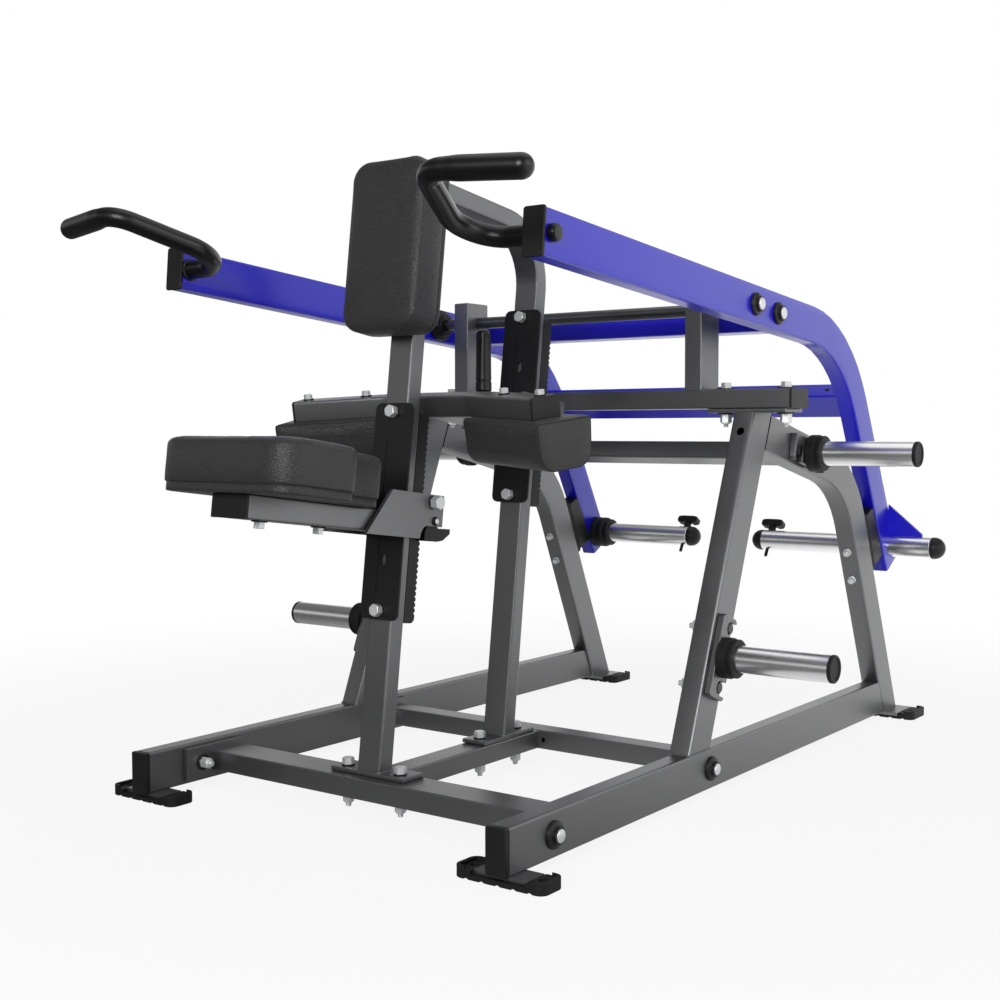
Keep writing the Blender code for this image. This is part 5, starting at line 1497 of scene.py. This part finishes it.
@dataclass
class StorageHorns:
    """Plate storage horns on notched brackets, with rubber stops and end caps.

    Attributes:
        face: X of the brackets' inner faces.
        radius: Radius of the tube.
        plate_size: Width, height and thickness of a bracket.
        notch: Radius of a notch.
        notch_at: Its distance from the bracket's middle.
        stop_radius: Radius of the stop.
    """

    face: float = 425.3
    radius: float = 25.0
    plate_size: Point3 = (55.0, 156.0, 12.5)
    notch: float = 14.0
    notch_at: float = 56.0
    stop_radius: float = 38.0

    def bracket(self) -> list[Point2]:
        """Draw the bracket, with its two open notches.

        Returns:
            Its outline.
        """
        wide, tall, _ = self.plate_size
        r, at = self.notch, self.notch_at
        points = rounded([(-wide / 2, tall / 2, 6), (-wide / 2, -tall / 2, 6),
                          (wide / 2, -tall / 2, 6)], False, 4)
        points = [(-wide / 2, tall / 2 - 6)] + points[1:-1]
        points += [(wide / 2 - 6, -tall / 2), (wide / 2, -tall / 2 + 5)]
        for middle in (-at, at):
            points.append((wide / 2, middle - r))
            points += [(8 + r * math.cos(math.radians(a)), middle + r * math.sin(math.radians(a)))
                       for a in range(270, 89, -15)]
            points.append((wide / 2, middle + r))
        return points + [(wide / 2, tall / 2 - 5), (wide / 2 - 6, tall / 2),
                         (-wide / 2 + 6, tall / 2)]

    def build(self) -> None:
        """Make the four horns."""
        thick = self.plate_size[2]
        r, cap_r, bore, s = self.radius, self.radius + 0.3, self.radius + 0.2, self.stop_radius
        base = thick + 0.3
        stop = rounded([(bore, base, 0), (s, base, 1), (s, base + 18, 1.5),
                        (33.4, base + 19.5, 1.2), (33.4, base + 22.5, 1.2),
                        (36, base + 24, 1.2), (36, base + 30, 1.5),
                        (33.5, base + 31.0, 1), (bore, base + 31.0, 0.6)], True, 4)
        for side, word in SIDES:
            for where, y, z, turn, end in STORAGE:
                spot = (MACHINE @ Matrix.Translation((side * self.face, y, z))
                        @ Matrix.Rotation(turn, 4, "X"))
                tip = end - self.face
                tube = [(0, thick - 1), (r, thick - 1), (r, tip - 7.5), (r - 0.6, tip - 6.8),
                        (0, tip - 6.8)]
                cap = [(0, tip - 2.0), (cap_r - 6.2, tip - 2.0), (cap_r - 5.4, tip - 0.4),
                       (cap_r - 4.6, tip), (cap_r - 1.6, tip), (cap_r, tip - 1.6),
                       (cap_r, tip - 7.0), (0, tip - 7.0)]
                name = f"{word}_{where}_storage"
                make_piece(name + "_bracket",
                           placed(plate(self.bracket(), thick, 1.0), sideways(side)), spot,
                           GREY_COAT, Body.FRAME, ())
                for part, profile, steps, finish, node, slot in (
                        ("_sleeve", tube, 96, CHROME, "_horn", "horn_steel"),
                        ("_cap", cap, 72, RUBBER, "", "moulded_cap"),
                        ("_stop", stop, 80, RUBBER, "_collar", "horn_rubber")):
                    make_piece(name + part, turned(profile, steps, (0, 0, 0), (side, 0, 0)),
                               spot, finish, Body.FRAME, (name + node,) if node else ())


# Upholstery.


def grown(loop: Sequence[Point2], out: float) -> list[Point2]:
    """Move an anticlockwise outline outwards.

    Args:
        loop: The outline.
        out: How far it moves; less than zero is inwards.

    Returns:
        The moved outline.
    """
    points = [Vector(p) for p in loop]
    moved = []
    for i, here in enumerate(points):
        before = (here - points[i - 1]).normalized()
        after = (points[(i + 1) % len(points)] - here).normalized()
        normal = Vector((before.y + after.y, -before.x - after.x)).normalized()
        spread = max(0.6, normal.dot(Vector((before.y, -before.x))))
        spot = here + normal * (out / spread)
        moved.append((spot.x, spot.y))
    return moved


def spaced(loop: Sequence[Point2], gap: float) -> list[Point2]:
    """An outline whose long sides are cut into short ones."""
    return [(p.x, p.y) for p in dotted([(x, y, 0.0) for x, y in loop], gap)]


def nearest(point: Vector, loop: Sequence[Vector]) -> float:
    """Distance from a point to an outline's corners."""
    return min((point - other).length for other in loop)


@dataclass
class Cushion:
    """A foam pad on a board, in leather-grain vinyl.

    Attributes:
        name: The piece's name.
        node: The CAD node that it stands for.
        body: The body that it rides on.
        frame: Its frame; the board lies at Z = 0 and the pad's face looks along +Z.
        outline: Outline of the widest part.
        height: Height of the face's edge.
        side: Outward step and height of each level of the side.
        edge: Radius of the rolled edge.
        crown: How far the face's middle stands above its edge.
        seam: Height of the seam on the side.
        puff: How far the foam may push the cover out.
    """

    name: str
    node: str
    body: Body
    frame: Matrix
    outline: list[Point2]
    height: float
    side: tuple[Point2, ...]
    edge: float
    crown: float
    seam: float
    puff: float

    def levels(self) -> list[Point2]:
        """Place every ring, from the board to the face.

        Returns:
            Each ring's outward step and height.
        """
        top = self.height - self.edge
        arc = [(-self.edge * (1 - math.cos(math.radians(a))),
                top + self.edge * math.sin(math.radians(a))) for a in (14, 28, 42, 56, 70, 84)]
        return [*self.side, (0.0, top), *arc]

    def build(self) -> None:
        """Shape the cover, let the foam fill it, and sew its seam."""
        bm = bmesh.new()
        base = spaced(self.outline, 6.0)
        rings = []
        for out, level in self.levels():
            rings.append([bm.verts.new((x, y, level)) for x, y in grown(base, out)])
        skin(bm, rings)
        self.fill(bm, rings[0], 30.0, flat=True)
        self.fill(bm, rings[-1], 8.0, flat=False)
        pinned = [i for i, v in enumerate(bm.verts) if v.co.z < self.seam + 2.0]
        piece = make_piece(self.name, bm, self.frame, VINYL, self.body, (self.node,),
                           60.0, soft=True)
        self.inflate(piece, pinned)
        self.sew()

    def fill(self, bm: Form, ring: list[bmesh.types.BMVert], gap: float, flat: bool) -> None:
        """Close a ring with evenly spread triangles.

        Args:
            bm: The cover.
            ring: The ring to close.
            gap: About how far apart the points are.
            flat: Whether it stays flat; a face is crowned.
        """
        edge = [v.co.xy for v in ring]
        level = ring[0].co.z
        xs, ys = [p.x for p in edge], [p.y for p in edge]
        inner = []
        row = 0
        y = min(ys) + gap / 2
        while y < max(ys):
            x = min(xs) + gap * (0.25 + 0.5 * (row % 2))
            while x < max(xs):
                point = Vector((x, y))
                if self.inside(point, edge) and nearest(point, edge) > gap * 0.6:
                    inner.append(point)
                x += gap
            y += gap * 0.87
            row += 1
        count = len(edge)
        sides = [(i, (i + 1) % count) for i in range(count)]
        spots, _, faces, origin, _, _ = delaunay_2d_cdt(edge + inner, sides, [], 1, 1e-4)
        reach = max((nearest(p, edge) for p in inner), default=1.0)
        verts = []
        for spot, source in zip(spots, origin):
            first = min(source) if source else count
            if first < count:
                verts.append(ring[first])
                continue
            share = min(1.0, nearest(spot, edge) / reach)
            rise = 0.0 if flat else self.crown * (1 - (1 - share) ** 2) + 0.1
            verts.append(bm.verts.new((spot.x, spot.y, level + rise)))
        for face in faces:
            corners = [verts[i] for i in face]
            if len(set(corners)) == 3:
                bm.faces.new(corners)

    @staticmethod
    def inside(point: Vector, edge: Sequence[Vector]) -> bool:
        """Tell whether a point lies inside an outline.

        Args:
            point: The point.
            edge: The outline.

        Returns:
            Whether it does.
        """
        held = False
        for a, b in zip(edge, [*edge[1:], edge[0]]):
            if (a.y > point.y) != (b.y > point.y):
                if point.x < a.x + (b.x - a.x) * (point.y - a.y) / (b.y - a.y):
                    held = not held
        return held

    def inflate(self, piece: bpy.types.Object, pinned: list[int]) -> None:
        """Let cloth under pressure settle over the foam, and keep its shape.

        Args:
            piece: The pad.
            pinned: Points that are stapled to the board.
        """
        group = piece.vertex_groups.new(name="board")
        group.add(pinned, 1.0, "REPLACE")
        cloth = piece.modifiers.new("cover", "CLOTH")
        cover = cloth.settings
        cover.quality = 5
        cover.use_pressure = True
        cover.uniform_pressure_force = 4.0
        cover.vertex_group_mass = "board"
        cover.bending_stiffness = 4.0
        cover.effector_weights.gravity = 0.0
        cloth.point_cache.frame_end = 20
        scene = bpy.context.scene
        for number in range(1, 21):
            scene.frame_set(number)
        settled = piece.evaluated_get(bpy.context.evaluated_depsgraph_get())
        places = [v.co.copy() for v in settled.to_mesh().vertices]
        settled.to_mesh_clear()
        piece.modifiers.remove(cloth)
        piece.vertex_groups.clear()
        cap = self.puff * MM
        for vert, place in zip(piece.data.vertices, places):
            step = place - vert.co
            vert.co = vert.co + (step if step.length < cap else step.normalized() * cap)
        piece.data.update()
        scene.frame_set(1)

    def sew(self) -> None:
        """Lay the seam's thread in its groove."""
        groove = min(self.side, key=lambda pair: abs(pair[1] - self.seam))
        line = [Vector((x, y, groove[1])) for x, y in
                spaced(grown(self.outline, groove[0] + 0.15), 1.3)]
        make_piece(self.name + "_seam", sweep(line, 0.75, 8, 0.28, 5.2, True), self.frame,
                   THREAD, self.body, crease=80.0)


@dataclass
class Upholstery:
    """The seat, the chest pad and the two thigh pads.

    Attributes:
        seat_half: Half of the seat's width.
        seat_front: Y of its front.
        seat_step: Y at which it narrows.
        seat_rear: Y of its tail's end.
        seat_neck: Half of the tail's width.
        seat_base: Height of its board, along the post.
        seat_height: Height of its face's edge over the board.
        chest: Low and high X, then low and high Z of the chest pad.
        chest_base: How far its board stands in front of the post's middle.
        chest_height: Height of its face's edge over the board.
        corner: Radius of the chest pad's corners.
        thigh: Length, depth and height of a thigh pad.
        bolster: How far its foot draws in, then the radius of its lower and upper corners.
        thigh_at: Where it is set out from: the front of the thigh bar's end, on its underside.
        thigh_past: How far it passes that place, outwards and to the front.
        trim: How much its section is lower than its height.
        panel: Where its middle rings start and how far short of the end they stop, and the
            step between them.
    """

    seat_half: float = 155.0
    seat_front: float = -422.0
    seat_step: float = -262.0
    seat_rear: float = -116.5
    seat_neck: float = 75.5
    seat_base: float = 456.4
    seat_height: float = 86.0
    chest: tuple[float, float, float, float] = (-87.8, 87.8, 767.6, 1075.4)
    chest_base: float = 18.3
    chest_height: float = 69.5
    corner: float = 38.0
    thigh: Point3 = (223.0, 118.0, 88.0)
    bolster: Point3 = (6.0, 32.0, 6.0)
    thigh_at: Point3 = (275.2, -61.4, -20.3)
    thigh_past: Point2 = (37.0, 18.0)
    trim: float = 2.4
    panel: tuple[int, int, int] = (14, 12, 9)

    def seat_outline(self) -> list[Point2]:
        """Draw a wide front with rounded corners, and a narrower tail.

        Returns:
            The seat's outline.
        """
        h, n = self.seat_half, self.seat_neck
        return rounded([(-h, self.seat_front, 48), (h, self.seat_front, 48),
                        (h, self.seat_step, 26), (n, self.seat_step, 10),
                        (n, self.seat_rear, 22), (-n, self.seat_rear, 22),
                        (-n, self.seat_step, 10), (-h, self.seat_step, 26)], True, 9)

    def build(self) -> None:
        """Make the four pads."""
        Cushion("seat_cushion", "seat_pad", Body.SEAT,
                SEAT_POST @ Matrix.Translation((0, 0, self.seat_base)), self.seat_outline(),
                self.seat_height,
                ((-6.4, 0), (-4.4, 1.0), (-4.0, 4), (-3.9, 13.6), (-4.9, 14.6), (-1.6, 15.6),
                 (-1.0, 18), (-0.3, 30), (-0.3, 52)),
                13.0, 2.6, 14.6, 2.2).build()
        face = Matrix(((1, 0, 0, 0), (0, 0, -1, -self.chest_base), (0, 1, 0, 0), (0, 0, 0, 1)))
        Cushion("chest_cushion", "chest_pad", Body.FRAME, SEAT_POST @ face,
                rectangle(*self.chest, self.corner, 9), self.chest_height,
                ((-5, 0), (-3, 1.0), (-2.4, 4), (-2.3, 12.0), (-3.4, 13.0), (-1.0, 14.0),
                 (-0.6, 18), (-0.3, 30), (-0.3, 46)),
                11.0, 2.4, 13.0, 1.6).build()
        self.build_thigh()

    def build_thigh(self) -> None:
        """The two bolsters under the swept bar, each sewn from one long cover and end panels."""
        wide, deep, tall = self.thigh
        draw_in, under, top = self.bolster
        x, y, z = self.thigh_at
        overhang, ahead = self.thigh_past
        start, stop, step = self.panel
        foot = tall - self.trim
        middle = tuple((0.0, float(level)) for level in range(start, int(wide) - stop, step))
        for side, word in SIDES:
            along = Matrix(((0, 0, -side, side * overhang), (-side, 0, 0, 0), (0, 1, 0, 0),
                            (0, 0, 0, 1)))
            spot = (THIGH_BAR @ Matrix.Translation((side * x, y, z))
                    @ Matrix.Rotation(-side * THIGH_SWEEP, 4, "Z")
                    @ Matrix.Rotation(math.pi, 4, "X") @ along)
            near, far = sorted((-side * ahead, -side * (ahead - deep)))
            outline = rounded([(near, 0, top), (far, 0, top), (far - draw_in, foot, under),
                               (near + draw_in, foot, under)], True, 9)
            Cushion(f"{word}_thigh_cushion", f"{word}_thigh_pad", Body.THIGH, spot, outline,
                    wide, ((-3.6, 0), (-1.8, 0.9), (-0.6, 2.6), (0.0, 5.0), *middle),
                    5.0, 1.2, 0.9, 1.8).build()


# Thigh fittings.


@dataclass
class ThighFittings:
    """End caps of the thigh bar, its pad bolts and the release grip.

    Attributes:
        tip: X and Y of the middle of the bar's end.
        bar: Depth and height of the bar.
        bolts: X of the left pad's bolts, then of the right pad's.
        bolt_level: Height of the bar's top.
        grip_y: Y of the grip's pivot.
        grip_z: Height of the pivot, along the mast.
        grip_half: Half of the distance between the pivot's washers.
    """

    tip: Point2 = (284.8, -33.0)
    bar: Point2 = (60.0, 40.0)
    bolts: tuple[Point2, Point2] = ((-268.4, -153.6), (275.0, 175.4))
    bolt_level: float = 20.1
    grip_y: float = -130.0
    grip_z: float = 647.5
    grip_half: float = 16.1

    def build(self) -> None:
        """Make the caps, bolts and grip."""
        deep, high = self.bar
        x, y = self.tip
        for (side, word), bolts in zip(SIDES, self.bolts):
            turn = (Matrix.Translation((side * x, y, 0))
                    @ Matrix.Rotation(-side * THIGH_SWEEP, 4, "Z"))
            cap = merged([tablet(deep + 0.8, high + 0.8, 5.4, 4.6, 2.0, 4, 0.2),
                          tablet(deep - 6.8, high - 6.8, 3, 12.0, 0.6, 3, -11.0)])
            make_piece(f"{word}_bar_cap", placed(cap, turn @ sideways(side)), THIGH_BAR,
                       NYLON, Body.THIGH)
            spots = [(at, y + (x - abs(at)) * math.tan(THIGH_SWEEP), self.bolt_level)
                     for at in bolts]
            FastenerSet(f"{word}_thigh_pad", Body.THIGH, THIGH_BAR,
                        facing(UP, spots, Head.HEX, 14.0, 10.5)).build()
        spot = (MAST @ Matrix.Translation((0, self.grip_y, self.grip_z))
                @ Matrix.Rotation(LEAN, 4, "X"))
        grip = lathe(rounded([(0, 133, 0), (13.2, 132.6, 8), (14.4, 118, 6), (15.0, 50, 4),
                              (15.2, 37, 1), (14.3, 35.6, 0.6), (14.3, 33.6, 0.6),
                              (15.6, 32, 0.8), (15.8, 17, 2.5), (12.5, 12.6, 2),
                              (0, 12.6, 0)], False, 5), 64)
        tongue = block((-8.2, -7.8, -7.8), (8.2, 7.8, 14.0), 3.0, 1.0)
        make_piece("thigh_release_grip", merged([grip, tongue]), spot, DIPPED,
                   Body.THIGH_LATCH, ("thigh_release_lever",))
        FastenerSet("thigh_release", Body.THIGH, MAST, opposed(
            self.grip_half, self.grip_y, self.grip_z, Head.DOME, 8.0, 7.0)).build()


# Studio.


@dataclass
class Studio:
    """Pale floor, soft lamps and the camera.

    Attributes:
        azimuth: The camera's turn from the front, in degrees.
        elevation: Its height over the horizon, in degrees.
        roll: Its roll, in degrees.
        focal_px: Its focal length in pixels of a picture that is 1000 wide.
        eye: Where it stands.
        room_light: How strongly the room lights the machine.
        front_wall: Height and tone of each band of the studio before the machine, as
            reflections show it; 0.5 is the horizon.
        side_wall: The same behind the machine's right side.
        softbox_gain: Brightness of the bands.
        lamps: Name, place, target, size and power of each lamp, in metres and watts.
    """

    azimuth: float = 36.364
    elevation: float = 2.920
    roll: float = -0.087
    focal_px: float = 1387.33
    eye: Point3 = (1615.57, -2414.80, 680.57)
    room_light: float = 0.22
    front_wall: tuple[Point2, ...] = ((0.0, 0.06), (1.0, 0.3), (0.49, 0.06), (0.53, 0.12),
                                      (0.58, 0.46), (0.66, 0.46), (0.72, 0.06), (0.86, 0.1))
    side_wall: tuple[Point2, ...] = ((0.0, 0.26), (1.0, 0.32), (0.44, 0.55), (0.5, 0.93),
                                     (0.6, 1.0), (0.7, 0.7), (0.8, 0.26))
    softbox_gain: float = 1.42
    lamps: tuple[tuple[str, Point3, Point3, Point2, float], ...] = (
        ("key_lamp", (3.6, -0.4, 2.2), (0.0, 0.0, 0.55), (2.6, 2.2), 28.0),
        ("front_lamp", (1.2, -4.4, 2.0), (0.0, 0.0, 0.6), (2.2, 1.8), 120.0),
        ("top_lamp", (0.2, 0.2, 3.8), (0.0, 0.1, 0.0), (3.4, 3.4), 26.0))

    def build(self) -> None:
        """Set the stage, the lamps and the camera."""
        scene = bpy.context.scene
        scene.view_settings.view_transform = "Standard"
        self.floor()
        self.sky()
        for name, at, target, size, power in self.lamps:
            self.lamp(name, at, target, size, power)
        self.camera(scene)

    def floor(self) -> None:
        """A pale floor that keeps the machine's shadow."""
        bpy.ops.mesh.primitive_circle_add(vertices=96, radius=14.0, fill_type="NGON")
        disc = bpy.context.object
        disc.name = "studio_floor"
        material = bpy.data.materials.new("pale_studio_floor")
        material.use_nodes = True
        tree = material.node_tree
        tree.nodes.clear()
        place = add(tree, "ShaderNodeTexCoord").outputs["Object"]
        away = add(tree, "ShaderNodeVectorMath", {0: place}, operation="LENGTH")
        fade = add(tree, "ShaderNodeMapRange", {"Value": away.outputs["Value"],
                                                "From Min": 0.9, "From Max": 2.6,
                                                "To Min": 0.88, "To Max": 1.0},
                   interpolation_type="SMOOTHSTEP")
        tone, rays = self.backdrop(tree, place, 3.0)
        seen = add(tree, "ShaderNodeMath", {0: fade.outputs[0], 1: rays}, operation="MULTIPLY")
        paint = add(tree, "ShaderNodeBsdfPrincipled", {"Base Color": linear("#e6e6e6"),
                                                       "Roughness": 0.9})
        glow = add(tree, "ShaderNodeEmission", {"Color": tone, "Strength": 1.0})
        mixed = add(tree, "ShaderNodeMixShader", {0: seen.outputs[0], 1: paint.outputs[0],
                                                  2: glow.outputs[0]})
        add(tree, "ShaderNodeOutputMaterial", {"Surface": mixed.outputs[0]})
        disc.data.materials.append(material)

    def backdrop(self, tree: Tree, place: Socket, reach: float) -> tuple[Socket, Socket]:
        """Work out what the camera and reflections see of the studio.

        Args:
            tree: The node tree.
            place: A direction, or a spot on the floor.
            reach: Length at which the floor takes the tone of the wall beyond it.

        Returns:
            The tone, white to the camera, and whether a ray is the camera's or a reflection's.
        """
        path = add(tree, "ShaderNodeLightPath")
        rays = add(tree, "ShaderNodeMath", {0: path.outputs["Is Camera Ray"],
                                            1: path.outputs["Is Glossy Ray"]},
                   operation="MAXIMUM")
        tone = add(tree, "ShaderNodeMix", {0: path.outputs["Is Glossy Ray"], 6: (1, 1, 1, 1),
                                           7: self.softboxes(tree, place, reach)},
                   data_type="RGBA")
        return tone.outputs[2], rays.outputs[0]

    def softboxes(self, tree: Tree, place: Socket, reach: float) -> Socket:
        """Brightness of the studio in a reflection: pale behind the machine's right side,
        darker before it, with one long softbox above the horizon.

        Args:
            tree: The node tree.
            place: A direction, or a spot on the floor.
            reach: Length at which the floor takes the tone of the wall beyond it.

        Returns:
            The tone.
        """
        aside = add(tree, "ShaderNodeVectorMath", {0: place, 1: (0.6, 0.8, 0.0)},
                    operation="DOT_PRODUCT")
        share = add(tree, "ShaderNodeMapRange",
                    {"Value": aside.outputs["Value"], "From Min": -0.35 * reach,
                     "From Max": 0.5 * reach}, interpolation_type="SMOOTHSTEP")
        height = add(tree, "ShaderNodeSeparateXYZ", {0: place})
        rise = add(tree, "ShaderNodeMapRange", {"Value": height.outputs["Z"],
                                                "From Min": -1.0})
        walls = []
        for stops in (self.front_wall, self.side_wall):
            wall = add(tree, "ShaderNodeValToRGB", {0: rise.outputs[0]})
            for i, (spot, tone) in enumerate(stops):
                elements = wall.color_ramp.elements
                stop = elements[i] if i < 2 else elements.new(spot)
                stop.position, stop.color = spot, (tone, tone, tone, 1)
            walls.append(wall.outputs[0])
        mix = add(tree, "ShaderNodeMix", {0: share.outputs[0], 6: walls[0], 7: walls[1]},
                  data_type="RGBA")
        lit = add(tree, "ShaderNodeVectorMath", {0: mix.outputs[2], 3: self.softbox_gain},
                  operation="SCALE")
        return lit.outputs[0]

    def sky(self) -> None:
        """Grey room light, white to the camera, with softboxes in the reflections."""
        world = bpy.data.worlds.new("studio_room")
        bpy.context.scene.world = world
        world.use_nodes = True
        tree = world.node_tree
        tree.nodes.clear()
        place = add(tree, "ShaderNodeTexCoord").outputs["Generated"]
        tone, rays = self.backdrop(tree, place, 1.0)
        room = add(tree, "ShaderNodeBackground", {0: linear("#cfd1d4"), 1: self.room_light})
        seen = add(tree, "ShaderNodeBackground", {0: tone, 1: 1.0})
        mixed = add(tree, "ShaderNodeMixShader", {0: rays, 1: room.outputs[0],
                                                  2: seen.outputs[0]})
        add(tree, "ShaderNodeOutputWorld", {"Surface": mixed.outputs[0]})

    def lamp(self, name: str, at: Point3, target: Point3, size: Point2, power: float) -> None:
        """Hang a soft rectangular lamp.

        Args:
            name: Its name.
            at: Where it hangs.
            target: What it looks at.
            size: Its width and height.
            power: Its power in watts.
        """
        light = bpy.data.lights.new(name, "AREA")
        light.shape = "RECTANGLE"
        light.size, light.size_y = size
        light.energy = power
        holder = bpy.data.objects.new(name, light)
        holder.location = at
        aim = Vector(target) - Vector(at)
        holder.rotation_euler = aim.to_track_quat("-Z", "Y").to_euler()
        bpy.context.scene.collection.objects.link(holder)

    def camera(self, scene: bpy.types.Scene) -> None:
        """Set up the photograph's viewpoint.

        Args:
            scene: The scene that it is the camera of.
        """
        az, el, roll = (math.radians(v) for v in (self.azimuth, self.elevation, self.roll))
        ahead = Vector((-math.sin(az) * math.cos(el), math.cos(az) * math.cos(el),
                        -math.sin(el)))
        right = Vector((math.cos(az), math.sin(az), 0))
        up = right.cross(ahead)
        across = right * math.cos(roll) + up * math.sin(roll)
        upright = -right * math.sin(roll) + up * math.cos(roll)
        data = bpy.data.cameras.new("photo_view")
        data.sensor_width = 36.0
        data.lens = self.focal_px * 36.0 / 1000.0
        holder = bpy.data.objects.new("photo_view", data)
        turn = Matrix((across, upright, -ahead)).transposed().to_4x4()
        place = Vector(self.eye) + Vector((0, DATUM, 0))
        holder.matrix_world = Matrix.Translation(place * MM) @ turn
        scene.collection.objects.link(holder)
        scene.camera = holder


def main() -> None:
    """Build the machine's pieces in order and set the scene."""
    Studio().build()
    Steelwork().dress()
    Feet().build()
    TubeCaps().build()
    Bumpers().build()
    Hardware().build()
    WeldBeads().build()
    WeightHorns().build()
    Pivot().build()
    Handles().build()
    StorageHorns().build()
    ThighFittings().build()
    Upholstery().build()


if __name__ == "__main__":
    logging.basicConfig(level=logging.INFO)
    main()
